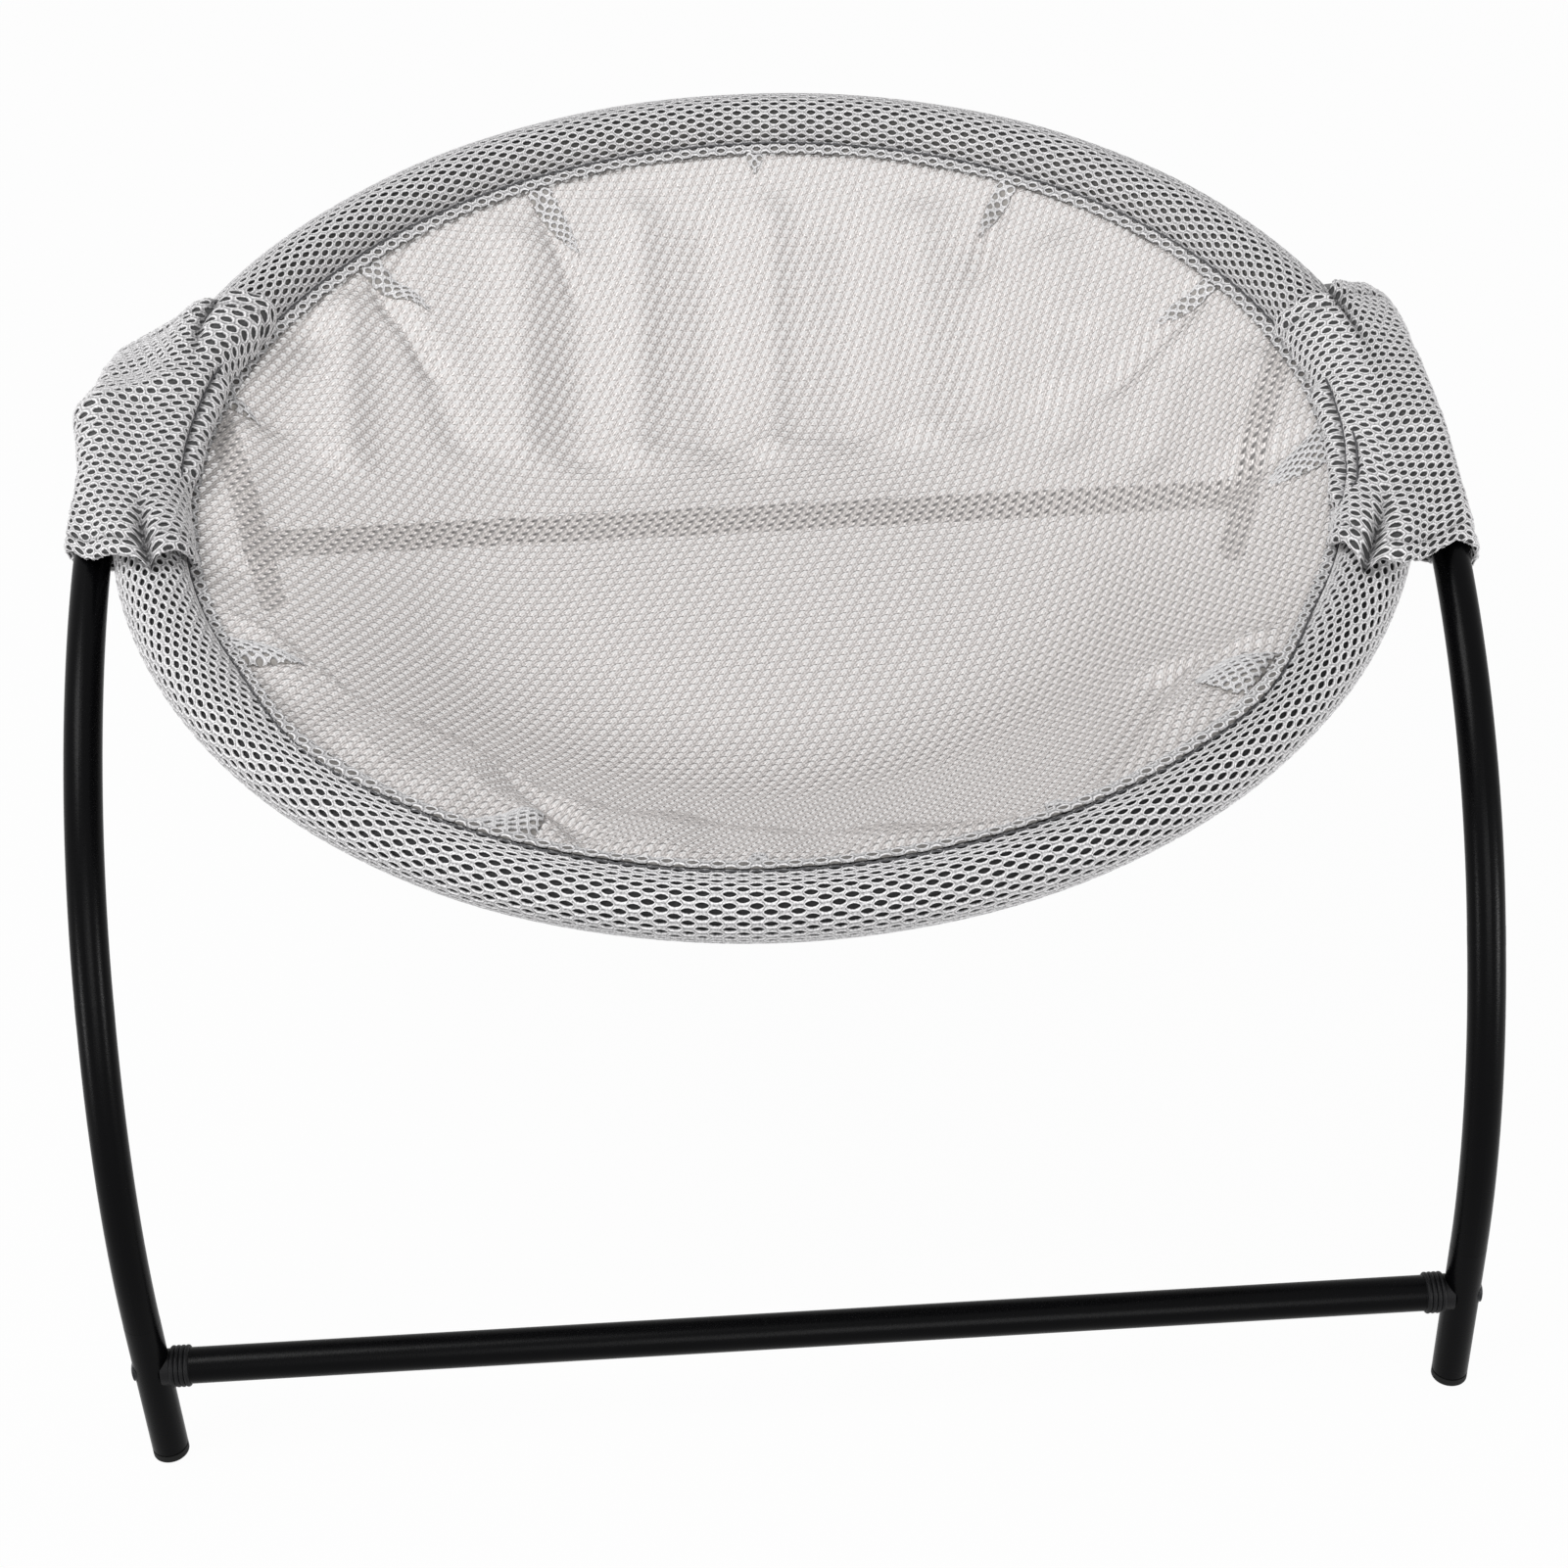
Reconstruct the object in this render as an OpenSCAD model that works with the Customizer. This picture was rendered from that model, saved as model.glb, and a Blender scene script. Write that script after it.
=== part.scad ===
// Round mesh pet hammock on a steel tube stand.
// Two side arches, each of two bent tubes joined at the crown, are tied by a front and a
// rear crossbar. A tube hoop in a padded mesh rim carries a shallow mesh bowl, and on each
// side a mesh sleeve wraps the rim together with the crown of the arch.
// Millimetres. Z is up and the floor is Z = 0. The front is -Y, and X runs along the
// crossbars. The origin is the middle of the footprint.

/* [Arches] */
// Distance between the middle planes of the two side arches
arch_spacing = 436; // [400:1:480]
// Front foot to rear foot, on the tube axes at the floor
stand_depth = 436; // [400:1:470]
// Outer diameter of the stand's tube
tube_d = 12; // [10:0.5:14]
// Wall of the stand's tube
tube_wall = 1; // [0.8:0.1:1.4]
// Lean of the straight foot from the vertical, in degrees
foot_lean = 10.2; // [7:0.2:13]
// Length of the straight foot, from the floor up to the knee bend
foot_length = 63; // [58:1:76]
// Radius of the long knee bend, on the tube axis
knee_radius = 241; // [215:1:265]
// Angle from the vertical at which the knee bend runs into the crown bend, in degrees
shoulder_angle = 36.4; // [32:0.2:41]
// Length of the straight between the knee bend and the crown bend
shoulder_length = 6; // [4:0.5:15]
// How far a bend's wall is drawn in from the straight tube, on each of its surfaces
bend_draw = 0.03; // [0.02:0.01:0.06]
// Length of the pin that joins the two tubes of an arch at the crown
crown_pin_length = 50; // [30:1:80]

/* [Crossbars] */
// Height of the crossbars' axis above the floor
crossbar_height = 41; // [32:1:48]
// Length of the ribbed collar, from the leg's surface to the end of the crossbar
collar_length = 7; // [6:0.5:12]
// How far the collar's saddle reaches round the leg
saddle_reach = 2.5; // [1:0.1:3.5]
// Number of ribs on a collar
rib_count = 4; // [2:1:4]
// Thickness of a rib
rib_d = 1.7; // [1.2:0.1:1.8]
// Length of the collar's stem inside the crossbar
stem_length = 15; // [10:1:25]

/* [Screws] */
// Diameter of the screw's thread
screw_d = 4; // [3:0.5:5]
// Diameter of the screw's head
head_d = 8; // [7:0.2:8.8]
// Height of the screw's head
head_height = 2.6; // [2:0.1:3.5]
// Depth of the dimple pressed into the leg for the head
dimple_depth = 1.8; // [1.4:0.1:2.2]
// Width across the flats of the hexagon socket
socket_width = 2.5; // [2:0.5:3]
// Depth of the hexagon socket
socket_depth = 1.4; // [0.8:0.1:1.8]
// Diameter of the threaded insert
insert_d = 7; // [6.4:0.1:7.6]
// Length of the threaded insert
insert_length = 5; // [3:0.5:8]

/* [Foot caps] */
// Radius of the cap's domed sole
sole_radius = 9; // [8:0.5:14]
// Depth of the flat worn or moulded on the sole
sole_flat = 0.4; // [0.2:0.1:0.8]
// Height of the cap's band below the tube
cap_band = 2.6; // [1.5:0.1:6]
// Height of the groove between the band and the tube
cap_groove = 0.6; // [0.3:0.1:1.2]
// Depth of that groove
groove_depth = 0.5; // [0.2:0.1:0.7]
// Length of the cap's plug inside the leg
plug_length = 12; // [8:1:20]

/* [Hoop and rim] */
// Outer diameter of the hoop's tube
hoop_d = 12; // [8:0.5:14]
// Wall of the hoop's tube
hoop_wall = 1; // [0.8:0.1:1.5]
// Room for the squeezed fabric between the hoop and an arch
squeeze = 2.5; // [1.5:0.1:5]
// Outer diameter of the mesh rim round the hoop
rim_d = 23; // [20:0.5:28]
// How far the rim's middle hangs below the crown's tube axis
rim_drop = 4; // [1:0.5:7]
// Opening of the butt joint in the hoop
butt_gap = 0.4; // [0.2:0.1:1]
// Length of the pin in the hoop's butt joint
hoop_pin_length = 40; // [20:1:60]
// Slope of the rim's seam below the horizontal, in degrees
seam_slope = 20; // [10:1:30]
// Width of the seam's turned edge
edge_width = 4.2; // [2:0.2:5]
// Thickness of the seam's turned edge
edge_thick = 1.5; // [1:0.1:2]

/* [Bowl] */
// Thickness of the bowl's spacer mesh
bowl_thick = 2.4; // [1.5:0.1:3]
// Depth of the bowl's floor below the middle of the rim
bowl_depth = 57; // [40:1:75]
// Slope of the bowl's wall, in degrees
wall_slope = 30; // [26:1:40]
// Radius of the turn from wall to floor
corner_radius = 110; // [60:1:150]
// How far the bowl's edge runs straight inwards from the rim before the wall drops
edge_run = 6; // [5.5:0.5:12]

/* [Sleeves] */
// Length of a sleeve along the arch
sleeve_length = 120; // [80:1:150]
// How far the left sleeve's middle lies behind the crown
left_sleeve_shift = 24; // [-25:1:25]
// How far the right sleeve's middle lies behind the crown
right_sleeve_shift = -7; // [-25:1:25]
// Thickness of the sleeve's mesh
sleeve_thick = 2.2; // [1.5:0.1:3]
// Half angle at the seam that the sleeve leaves open, in degrees
sleeve_mouth = 20; // [18:1:30]

/* [Fits] */
// Clearance of a plug, a stem or a pin in its tube, on the radius
plug_gap = 0.1; // [0.05:0.05:0.3]
// Clearance round a screw's shank, on the radius
shank_gap = 0.2; // [0.1:0.05:0.4]
// Clearance between fabric and what it lies on
cloth_gap = 0.4; // [0.3:0.05:0.8]

/* [Hidden] */
$fn = 96;

// Tubes
tube_r = tube_d / 2;
bore_r = tube_r - tube_wall;
arch_x = arch_spacing / 2;
foot_y = -stand_depth / 2;
run_out = 2;

// The arch's outline: the straight foot, the knee bend, the straight shoulder and the
// crown bend, each tangent to the next, with the crown level at Y = 0
knee_start_y = foot_y + foot_length * sin(foot_lean);
knee_start_z = foot_length * cos(foot_lean);
knee_axis_y = knee_start_y + knee_radius * cos(foot_lean);
knee_axis_z = knee_start_z - knee_radius * sin(foot_lean);
shoulder_y = knee_axis_y - knee_radius * cos(shoulder_angle);
shoulder_z = knee_axis_z + knee_radius * sin(shoulder_angle);
shoulder_end_y = shoulder_y + shoulder_length * sin(shoulder_angle);
shoulder_end_z = shoulder_z + shoulder_length * cos(shoulder_angle);
crown_radius = -shoulder_end_y / cos(shoulder_angle);
crown_axis_z = shoulder_end_z - crown_radius * sin(shoulder_angle);
crown_z = crown_axis_z + crown_radius;

// Where the crossbar meets the leg, in the collar's own frame: 0 is the leg's axis and
// the distance grows along the crossbar towards the middle of the stand
bar_y = foot_y + crossbar_height * tan(foot_lean);
collar_start = tube_r - saddle_reach;
collar_end = tube_r + collar_length;
stem_end = collar_end + stem_length;
stem_r = bore_r - plug_gap;
rib_pitch = collar_length / (rib_count + 0.4);
rib_lift = 0.05;

// Screw, from its seat in the dimple to just past the insert
screw_r = screw_d / 2;
head_seat = -(tube_r - dimple_depth);
head_gap = 0.3;
thread_gap = 0.05;
tip_proud = 0.8;
screw_length = stem_end - head_seat + tip_proud;

// Foot cap, in the leg's own frame: the axis starts at the floor
sole_axis = (sole_radius - sole_flat) / cos(foot_lean);
band_start = sole_axis - sqrt(pow(sole_radius, 2) - pow(tube_r, 2));
band_end = band_start + cap_band;
leg_start = band_end + cap_groove;

// Hoop and rim
hoop_r = hoop_d / 2;
hoop_bore_r = hoop_r - hoop_wall;
hoop_radius = arch_x - tube_r - squeeze - hoop_r;
rim_r = rim_d / 2;
rim_z = crown_z - rim_drop;
butt_angle = butt_gap / hoop_radius * 180 / PI;

// Seam: distances along its slope, from the middle of the rim
seam_slot = bowl_thick + 2 * cloth_gap;
tongue_start = hoop_r + 2 * cloth_gap;
edge_start = rim_r + cloth_gap;
tongue_end = rim_r + edge_run;
function seam_point(along, above) = [
    hoop_radius - along * cos(seam_slope) - above * sin(seam_slope),
    -along * sin(seam_slope) + above * cos(seam_slope)
];

// Bowl: middle line of the sheet, in radius and height from the middle of the rim
wall_top = seam_point(tongue_end, 0);
floor_level = -bowl_depth - bowl_thick / 2;
wall_drop = wall_top[1] - floor_level;
floor_radius = wall_top[0] - wall_drop / tan(wall_slope) - corner_radius * tan(wall_slope / 2);
corner_axis = [floor_radius, floor_level + corner_radius];
corner_steps = 8;
function bowl_corner(offset) = [
    for (i = [corner_steps:-1:0])
        let (a = i * wall_slope / corner_steps)
        corner_axis + (corner_radius - offset) * [sin(a), -cos(a)]
];
// One face of the sheet, offset from its middle line towards the inside of the bowl
function bowl_face(offset) = concat(
    [seam_point(tongue_start, offset)],
    [wall_top + offset * [-sin((seam_slope + wall_slope) / 2), cos((seam_slope + wall_slope) / 2)]
        / cos((wall_slope - seam_slope) / 2)],
    bowl_corner(offset),
    [[0, floor_level + offset]]
);
function reversed(list) = [for (i = [len(list) - 1:-1:0]) list[i]];

// Sleeve: its section runs from the seam over the rim and the arch and back to the seam
sleeve_stations = 16;
sleeve_arc_steps = 10;
// Direction of the rim's seam as an angle from the outward horizontal
seam_direction = 180 + seam_slope;

// ---------------------------------------------------------------- placing

// Copies the front right corner's piece to the side (-1 left, 1 right) and the end
// (-1 front, 1 rear) asked for
module at_corner(side, end) {
    scale_x = side > 0 ? 0 : 1;
    scale_y = end < 0 ? 0 : 1;
    mirror([scale_x, 0, 0]) mirror([0, scale_y, 0]) children();
}

// Leg's own frame: Z runs up the axis of the straight foot
module on_foot() {
    translate([arch_x, foot_y, 0]) rotate([-foot_lean, 0, 0]) children();
}

// Collar's own frame: Z runs from the leg's axis along the crossbar to the middle
module on_joint() {
    translate([arch_x, bar_y, crossbar_height]) rotate([0, -90, 0]) children();
}

// ---------------------------------------------------------------- tubes

// A tube bent in the YZ plane, from one angle to the other, from +Y towards +Z
module bent_tube(radius, from, to, outer_r, inner_r) {
    rotate([90, 0, 90]) rotate([0, 0, from]) rotate_extrude(angle = to - from)
        translate([radius, 0]) difference() {
            circle(outer_r);
            circle(inner_r);
        }
}

// Wall of the leg pressed inwards under the screw's head, ending inside the tube's wall
module dimple_wall() {
    intersection() {
        on_joint() translate([0, 0, head_seat]) cylinder(r = head_d / 2 + tube_wall, h = tube_wall);
        on_foot() cylinder(r = tube_r - tube_wall / 2, h = foot_length);
    }
}

// Straight foot of the leg, drilled and dimpled for the screw
module leg_foot() {
    difference() {
        union() {
            on_foot() translate([0, 0, leg_start]) difference() {
                cylinder(r = tube_r, h = foot_length - leg_start);
                translate([0, 0, -run_out]) cylinder(r = bore_r, h = foot_length);
            }
            dimple_wall();
        }
        on_joint() {
            translate([0, 0, -tube_r - run_out])
                cylinder(r = head_d / 2 + head_gap, h = tube_r + run_out + head_seat);
            translate([0, 0, -tube_r - run_out])
                cylinder(r = screw_r + shank_gap, h = tube_d + 2 * run_out);
        }
    }
}

// A bend of the leg, drawn in so that its ends weld into the walls of the straights
module bend(radius, from, to) {
    bent_tube(radius, from, to, tube_r - bend_draw, bore_r + bend_draw);
}

module leg() {
    lap = 1;
    knee_lap = lap / knee_radius * 180 / PI;
    crown_lap = lap / crown_radius * 180 / PI;
    leg_foot();
    translate([arch_x, knee_axis_y, knee_axis_z])
        bend(knee_radius, 180 - shoulder_angle - knee_lap, 180 - foot_lean + knee_lap);
    translate([arch_x, shoulder_y, shoulder_z]) rotate([-shoulder_angle, 0, 0]) difference() {
        cylinder(r = tube_r, h = shoulder_length);
        translate([0, 0, -run_out]) cylinder(r = bore_r, h = shoulder_length + 2 * run_out);
    }
    translate([arch_x, 0, crown_axis_z]) bend(crown_radius, 90, 180 - shoulder_angle + crown_lap);
}

module crown_pin() {
    half = crown_pin_length / 2 / crown_radius * 180 / PI;
    pin_r = bore_r - plug_gap;
    translate([arch_x, 0, crown_axis_z]) bent_tube(crown_radius, 90 - half, 90 + half, pin_r, pin_r - tube_wall);
}

module crossbar() {
    half = arch_x - collar_end;
    translate([0, bar_y, crossbar_height]) rotate([0, 90, 0]) difference() {
        cylinder(r = tube_r, h = 2 * half, center = true);
        cylinder(r = bore_r, h = 2 * half + 2 * run_out, center = true);
    }
}

// ---------------------------------------------------------------- joints of the stand

// Ribbed collar with a saddle for the leg, and a stem that plugs into the crossbar
module collar() {
    on_joint() difference() {
        union() {
            translate([0, 0, collar_start]) cylinder(r = tube_r, h = collar_end - collar_start);
            for (i = [1:rib_count])
                translate([0, 0, collar_end - rib_pitch * (i - 0.4)]) rotate_extrude()
                    translate([tube_r + rib_lift, 0]) circle(d = rib_d);
            cylinder(r = stem_r, h = stem_end);
        }
        rotate([0, 90, foot_lean]) cylinder(r = tube_r + plug_gap, h = 4 * tube_d, center = true);
        translate([0, 0, -tube_d]) cylinder(r = tube_r + rib_d, h = tube_d + collar_start);
        cylinder(r = screw_r + shank_gap, h = stem_end + run_out);
        translate([0, 0, stem_end - insert_length])
            cylinder(r = insert_d / 2 + plug_gap, h = insert_length + run_out);
    }
}

module insert() {
    on_joint() translate([0, 0, stem_end - insert_length]) difference() {
        cylinder(d = insert_d, h = insert_length);
        translate([0, 0, -run_out]) cylinder(r = screw_r + thread_gap, h = insert_length + 2 * run_out);
    }
}

// Button-head screw with a hexagon socket
module screw() {
    cap_rise = 1;
    cap_radius = (pow(head_d / 2, 2) + pow(cap_rise, 2)) / (2 * cap_rise);
    on_joint() difference() {
        union() {
            translate([0, 0, head_seat]) cylinder(r = screw_r, h = screw_length);
            translate([0, 0, head_seat - head_height]) intersection() {
                cylinder(d = head_d, h = head_height);
                translate([0, 0, cap_radius]) sphere(r = cap_radius);
            }
        }
        translate([0, 0, head_seat - head_height - run_out])
            cylinder(d = socket_width / cos(30), h = socket_depth + run_out, $fn = 6);
    }
}

// Cap with a domed sole, a groove under the tube's end and a plug inside it, which runs
// down into the sole as the cap's core
module foot_cap() {
    core_start = band_start - 1;
    difference() {
        on_foot() {
            intersection() {
                translate([0, 0, sole_axis]) sphere(r = sole_radius);
                cylinder(r = tube_r, h = 2 * band_start, center = true);
            }
            translate([0, 0, band_start]) cylinder(r = tube_r, h = cap_band);
            translate([0, 0, band_end]) cylinder(r = tube_r - groove_depth, h = cap_groove);
            translate([0, 0, core_start])
                cylinder(r = bore_r - plug_gap, h = leg_start + plug_length - core_start);
        }
        translate([arch_x, foot_y, -tube_d]) cube(2 * tube_d, center = true);
    }
}

// ---------------------------------------------------------------- hoop and rim

// A length of the hoop's circle as a tube, from one angle to the other
module hoop_tube(from, to, outer_r, inner_r) {
    translate([0, 0, rim_z]) rotate([0, 0, from]) rotate_extrude(angle = to - from)
        translate([hoop_radius, 0]) difference() {
            circle(outer_r);
            circle(inner_r);
        }
}

// Tube bent to a hoop, its butt joint at the rear
module hoop() {
    color("dimgray") hoop_tube(90 + butt_angle / 2, 450 - butt_angle / 2, hoop_r, hoop_bore_r);
}

module hoop_pin() {
    half = hoop_pin_length / 2 / hoop_radius * 180 / PI;
    pin_r = hoop_bore_r - plug_gap;
    color("silver") hoop_tube(90 - half, 90 + half, pin_r, pin_r - hoop_wall);
}

// Mesh channel round the hoop, open along the seam where the bowl's edge is sewn in, and
// pressed flat where it lies against the crown of each arch
module rim_cover() {
    flat = arch_x - tube_r - cloth_gap;
    color("lightgray") translate([0, 0, rim_z]) intersection() {
        rotate_extrude() translate([hoop_radius, 0]) difference() {
            circle(rim_r);
            circle(hoop_r + cloth_gap);
            rotate(seam_direction) translate([0, -seam_slot / 2]) square([rim_d, seam_slot]);
        }
        cube([2 * flat, 4 * arch_x, 2 * rim_d], center = true);
    }
}

// Turned edge of the rim's fabric, lying on the bowl beside the seam
module seam_edge() {
    low = bowl_thick / 2 + cloth_gap;
    high = low + edge_thick;
    color("gray") translate([0, 0, rim_z]) rotate_extrude() polygon([
        seam_point(edge_start, low),
        seam_point(edge_start, high),
        seam_point(edge_start + edge_width, high),
        seam_point(edge_start + edge_width, low)
    ]);
}

// Shallow dish of one sheet, its edge running into the rim's seam
module bowl() {
    color("gainsboro") translate([0, 0, rim_z]) rotate_extrude()
        polygon(concat(bowl_face(bowl_thick / 2), reversed(bowl_face(-bowl_thick / 2))));
}

// ---------------------------------------------------------------- sleeves

// Section of the right sleeve at a distance y from the crown: points on one face, which
// lies the given distance off the rim and the arch. Both turn away from the plane of the
// section, which cuts them as ovals.
function sleeve_face(y, off) =
    let (
        arch_tilt = asin(y / crown_radius),
        rim_turn = asin(y / hoop_radius),
        arch = [arch_x, crown_axis_z + crown_radius * cos(arch_tilt)],
        rim = [hoop_radius * cos(rim_turn), rim_z],
        between = arch - rim,
        facing = atan2(between[1], between[0]),
        spread = acos((rim_r - tube_r) / norm(between)),
        from = seam_direction - sleeve_mouth,
        over = facing + spread,
        under = facing - spread,
        to = seam_direction - 360 + sleeve_mouth
    )
    concat(
        [for (i = [0:sleeve_arc_steps])
            let (a = from + (over - from) * i / sleeve_arc_steps)
            rim + (rim_r + off) * [cos(a) / cos(rim_turn), sin(a)]],
        [for (i = [0:sleeve_arc_steps])
            let (a = over + (under - over) * i / sleeve_arc_steps)
            arch + (tube_r + off) * [cos(a), sin(a) / cos(arch_tilt)]],
        [for (i = [0:sleeve_arc_steps])
            let (a = under + (to - under) * i / sleeve_arc_steps)
            rim + (rim_r + off) * [cos(a) / cos(rim_turn), sin(a)]]
    );

module sleeve(shift) {
    n = 3 * (sleeve_arc_steps + 1);
    points = [
        for (j = [0:sleeve_stations])
            let (y = shift + sleeve_length * (j / sleeve_stations - 0.5))
            for (p = concat(sleeve_face(y, cloth_gap), sleeve_face(y, cloth_gap + sleeve_thick)))
                [p[0], y, p[1]]
    ];
    // Quad of the grid between stations j and j + 1 and rows a and b
    function strip(j, a, b) = [
        [j * 2 * n + a, j * 2 * n + b, (j + 1) * 2 * n + b],
        [j * 2 * n + a, (j + 1) * 2 * n + b, (j + 1) * 2 * n + a]
    ];
    function end_quad(j, i) = [
        [j * 2 * n + i, j * 2 * n + i + 1, j * 2 * n + n + i + 1],
        [j * 2 * n + i, j * 2 * n + n + i + 1, j * 2 * n + n + i]
    ];
    function flipped(faces) = [for (f = faces) [f[2], f[1], f[0]]];
    faces = [
        for (j = [0:sleeve_stations - 1]) for (i = [0:n - 2]) each strip(j, i, i + 1),
        for (j = [0:sleeve_stations - 1]) for (i = [0:n - 2]) each flipped(strip(j, n + i, n + i + 1)),
        for (j = [0:sleeve_stations - 1]) each flipped(strip(j, 0, n)),
        for (j = [0:sleeve_stations - 1]) each strip(j, n - 1, 2 * n - 1),
        for (i = [0:n - 2]) each flipped(end_quad(0, i)),
        for (i = [0:n - 2]) each end_quad(sleeve_stations, i)
    ];
    polyhedron(points, faces, convexity = 6);
}

// ---------------------------------------------------------------- named sub-parts

module front_left_leg() { color("black") at_corner(-1, -1) leg(); }
module rear_left_leg() { color("black") at_corner(-1, 1) leg(); }
module front_right_leg() { color("black") at_corner(1, -1) leg(); }
module rear_right_leg() { color("black") at_corner(1, 1) leg(); }
module left_crown_pin() { color("silver") at_corner(-1, -1) crown_pin(); }
module right_crown_pin() { color("silver") at_corner(1, -1) crown_pin(); }
module front_crossbar() { color("black") crossbar(); }
module rear_crossbar() { color("black") at_corner(1, 1) crossbar(); }
module front_left_collar() { color("dimgray") at_corner(-1, -1) collar(); }
module rear_left_collar() { color("dimgray") at_corner(-1, 1) collar(); }
module front_right_collar() { color("dimgray") at_corner(1, -1) collar(); }
module rear_right_collar() { color("dimgray") at_corner(1, 1) collar(); }
module front_left_insert() { color("goldenrod") at_corner(-1, -1) insert(); }
module rear_left_insert() { color("goldenrod") at_corner(-1, 1) insert(); }
module front_right_insert() { color("goldenrod") at_corner(1, -1) insert(); }
module rear_right_insert() { color("goldenrod") at_corner(1, 1) insert(); }
module front_left_screw() { color("darkslategray") at_corner(-1, -1) screw(); }
module rear_left_screw() { color("darkslategray") at_corner(-1, 1) screw(); }
module front_right_screw() { color("darkslategray") at_corner(1, -1) screw(); }
module rear_right_screw() { color("darkslategray") at_corner(1, 1) screw(); }
module front_left_foot_cap() { color("dimgray") at_corner(-1, -1) foot_cap(); }
module rear_left_foot_cap() { color("dimgray") at_corner(-1, 1) foot_cap(); }
module front_right_foot_cap() { color("dimgray") at_corner(1, -1) foot_cap(); }
module rear_right_foot_cap() { color("dimgray") at_corner(1, 1) foot_cap(); }
module left_sleeve() { color("lightgray") at_corner(-1, -1) sleeve(left_sleeve_shift); }
module right_sleeve() { color("lightgray") sleeve(right_sleeve_shift); }

front_left_leg();
rear_left_leg();
front_right_leg();
rear_right_leg();
left_crown_pin();
right_crown_pin();
front_crossbar();
rear_crossbar();
front_left_collar();
rear_left_collar();
front_right_collar();
rear_right_collar();
front_left_insert();
rear_left_insert();
front_right_insert();
rear_right_insert();
front_left_screw();
rear_left_screw();
front_right_screw();
rear_right_screw();
front_left_foot_cap();
rear_left_foot_cap();
front_right_foot_cap();
rear_right_foot_cap();
hoop();
hoop_pin();
rim_cover();
seam_edge();
bowl();
left_sleeve();
right_sleeve();
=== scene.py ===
"""A round mesh pet hammock on a tube stand.

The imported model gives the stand's tubes, collars, screws and caps. The mesh fabric of the
rim, the bowl and the sleeves is knitted here round it, hole by hole. Lengths inside the
functions are in millimetres and become metres when a mesh is made.
"""
import math
import bpy
import mathutils
import numpy as np
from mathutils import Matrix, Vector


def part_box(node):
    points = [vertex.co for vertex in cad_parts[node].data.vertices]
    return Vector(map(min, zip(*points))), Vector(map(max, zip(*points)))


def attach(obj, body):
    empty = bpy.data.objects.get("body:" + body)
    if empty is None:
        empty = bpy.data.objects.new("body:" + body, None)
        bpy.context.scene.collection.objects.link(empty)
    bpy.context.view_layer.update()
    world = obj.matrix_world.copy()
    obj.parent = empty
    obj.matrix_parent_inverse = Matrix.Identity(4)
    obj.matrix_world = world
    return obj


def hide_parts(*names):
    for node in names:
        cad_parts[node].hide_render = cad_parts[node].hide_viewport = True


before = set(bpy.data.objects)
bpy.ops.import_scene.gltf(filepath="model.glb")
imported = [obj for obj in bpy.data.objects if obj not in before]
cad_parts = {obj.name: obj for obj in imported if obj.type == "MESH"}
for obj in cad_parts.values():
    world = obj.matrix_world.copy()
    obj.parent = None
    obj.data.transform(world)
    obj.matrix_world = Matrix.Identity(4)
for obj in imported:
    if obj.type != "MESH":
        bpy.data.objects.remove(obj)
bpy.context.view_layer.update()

# ------------------------------------------------------------------ camera and studio
# The camera stands in front of the bed, a little to the left, and looks down into the
# bowl. The studio is a white floor under a white sky. Soft lamps light it from above and
# from the front, and two lower ones at the sides draw the long highlights on the tubes.
turn, dip, roll = (math.radians(a) for a in (-1.753, 45.184, -1.875))
level = np.array([math.cos(turn), math.sin(turn), 0])
ahead = np.array([-math.sin(turn) * math.cos(dip), math.cos(turn) * math.cos(dip), -math.sin(dip)])
upward = np.cross(level, ahead)
camera = bpy.data.objects.new("camera", bpy.data.cameras.new("camera"))
camera.data.sensor_width = 36
camera.data.lens = 62.506
pose = np.eye(4)
pose[:3, 0] = math.cos(roll) * level + math.sin(roll) * upward
pose[:3, 1] = -math.sin(roll) * level + math.cos(roll) * upward
pose[:3, 2] = -ahead
pose[:3, 3] = (-0.0184, -0.7195, 0.8107)
camera.matrix_world = mathutils.Matrix(pose.tolist())
bpy.context.scene.collection.objects.link(camera)
bpy.context.scene.camera = camera
bpy.context.scene.view_settings.view_transform = "Standard"


def srgb(code):
    """Linear colour of a hex code. A channel c of 0 to 1 is c / 12.92 up to 0.04045, and
    ((c + 0.055) / 1.055) to the power 2.4 above it."""
    c = np.array([int(code[i:i + 2], 16) for i in (1, 3, 5)]) / 255
    linear = np.where(c <= 0.04045, c / 12.92, ((c + 0.055) / 1.055) ** 2.4)
    return (*linear, 1.0)


def node(tree, kind, inputs=(), **settings):
    """Adds a shader node. settings are its properties, and inputs are its sockets' names
    with their values or with the sockets that feed them."""
    made = tree.nodes.new("ShaderNode" + kind)
    for name, value in settings.items():
        setattr(made, name, value)
    for name, value in dict(inputs).items():
        if isinstance(value, bpy.types.NodeSocket):
            tree.links.new(value, made.inputs[name])
        else:
            made.inputs[name].default_value = value
    return made


def blank_material(name):
    """A new material with nothing but its output node, and its node tree."""
    made = bpy.data.materials.new(name)
    made.use_nodes = True
    made.node_tree.nodes.clear()
    return made, made.node_tree


def seen_directly(tree):
    """1 for a ray from the camera, a reflection or glass, and 0 for one that gathers soft
    painted_light: the largest of the three."""
    path = node(tree, "LightPath")
    either = node(tree, "Math", {0: path.outputs["Is Camera Ray"], 1: path.outputs["Is Glossy Ray"]},
                  operation="MAXIMUM")
    anyway = node(tree, "Math", {0: either.outputs[0], 1: path.outputs["Is Transmission Ray"]},
                  operation="MAXIMUM")
    return anyway.outputs[0]


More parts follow.
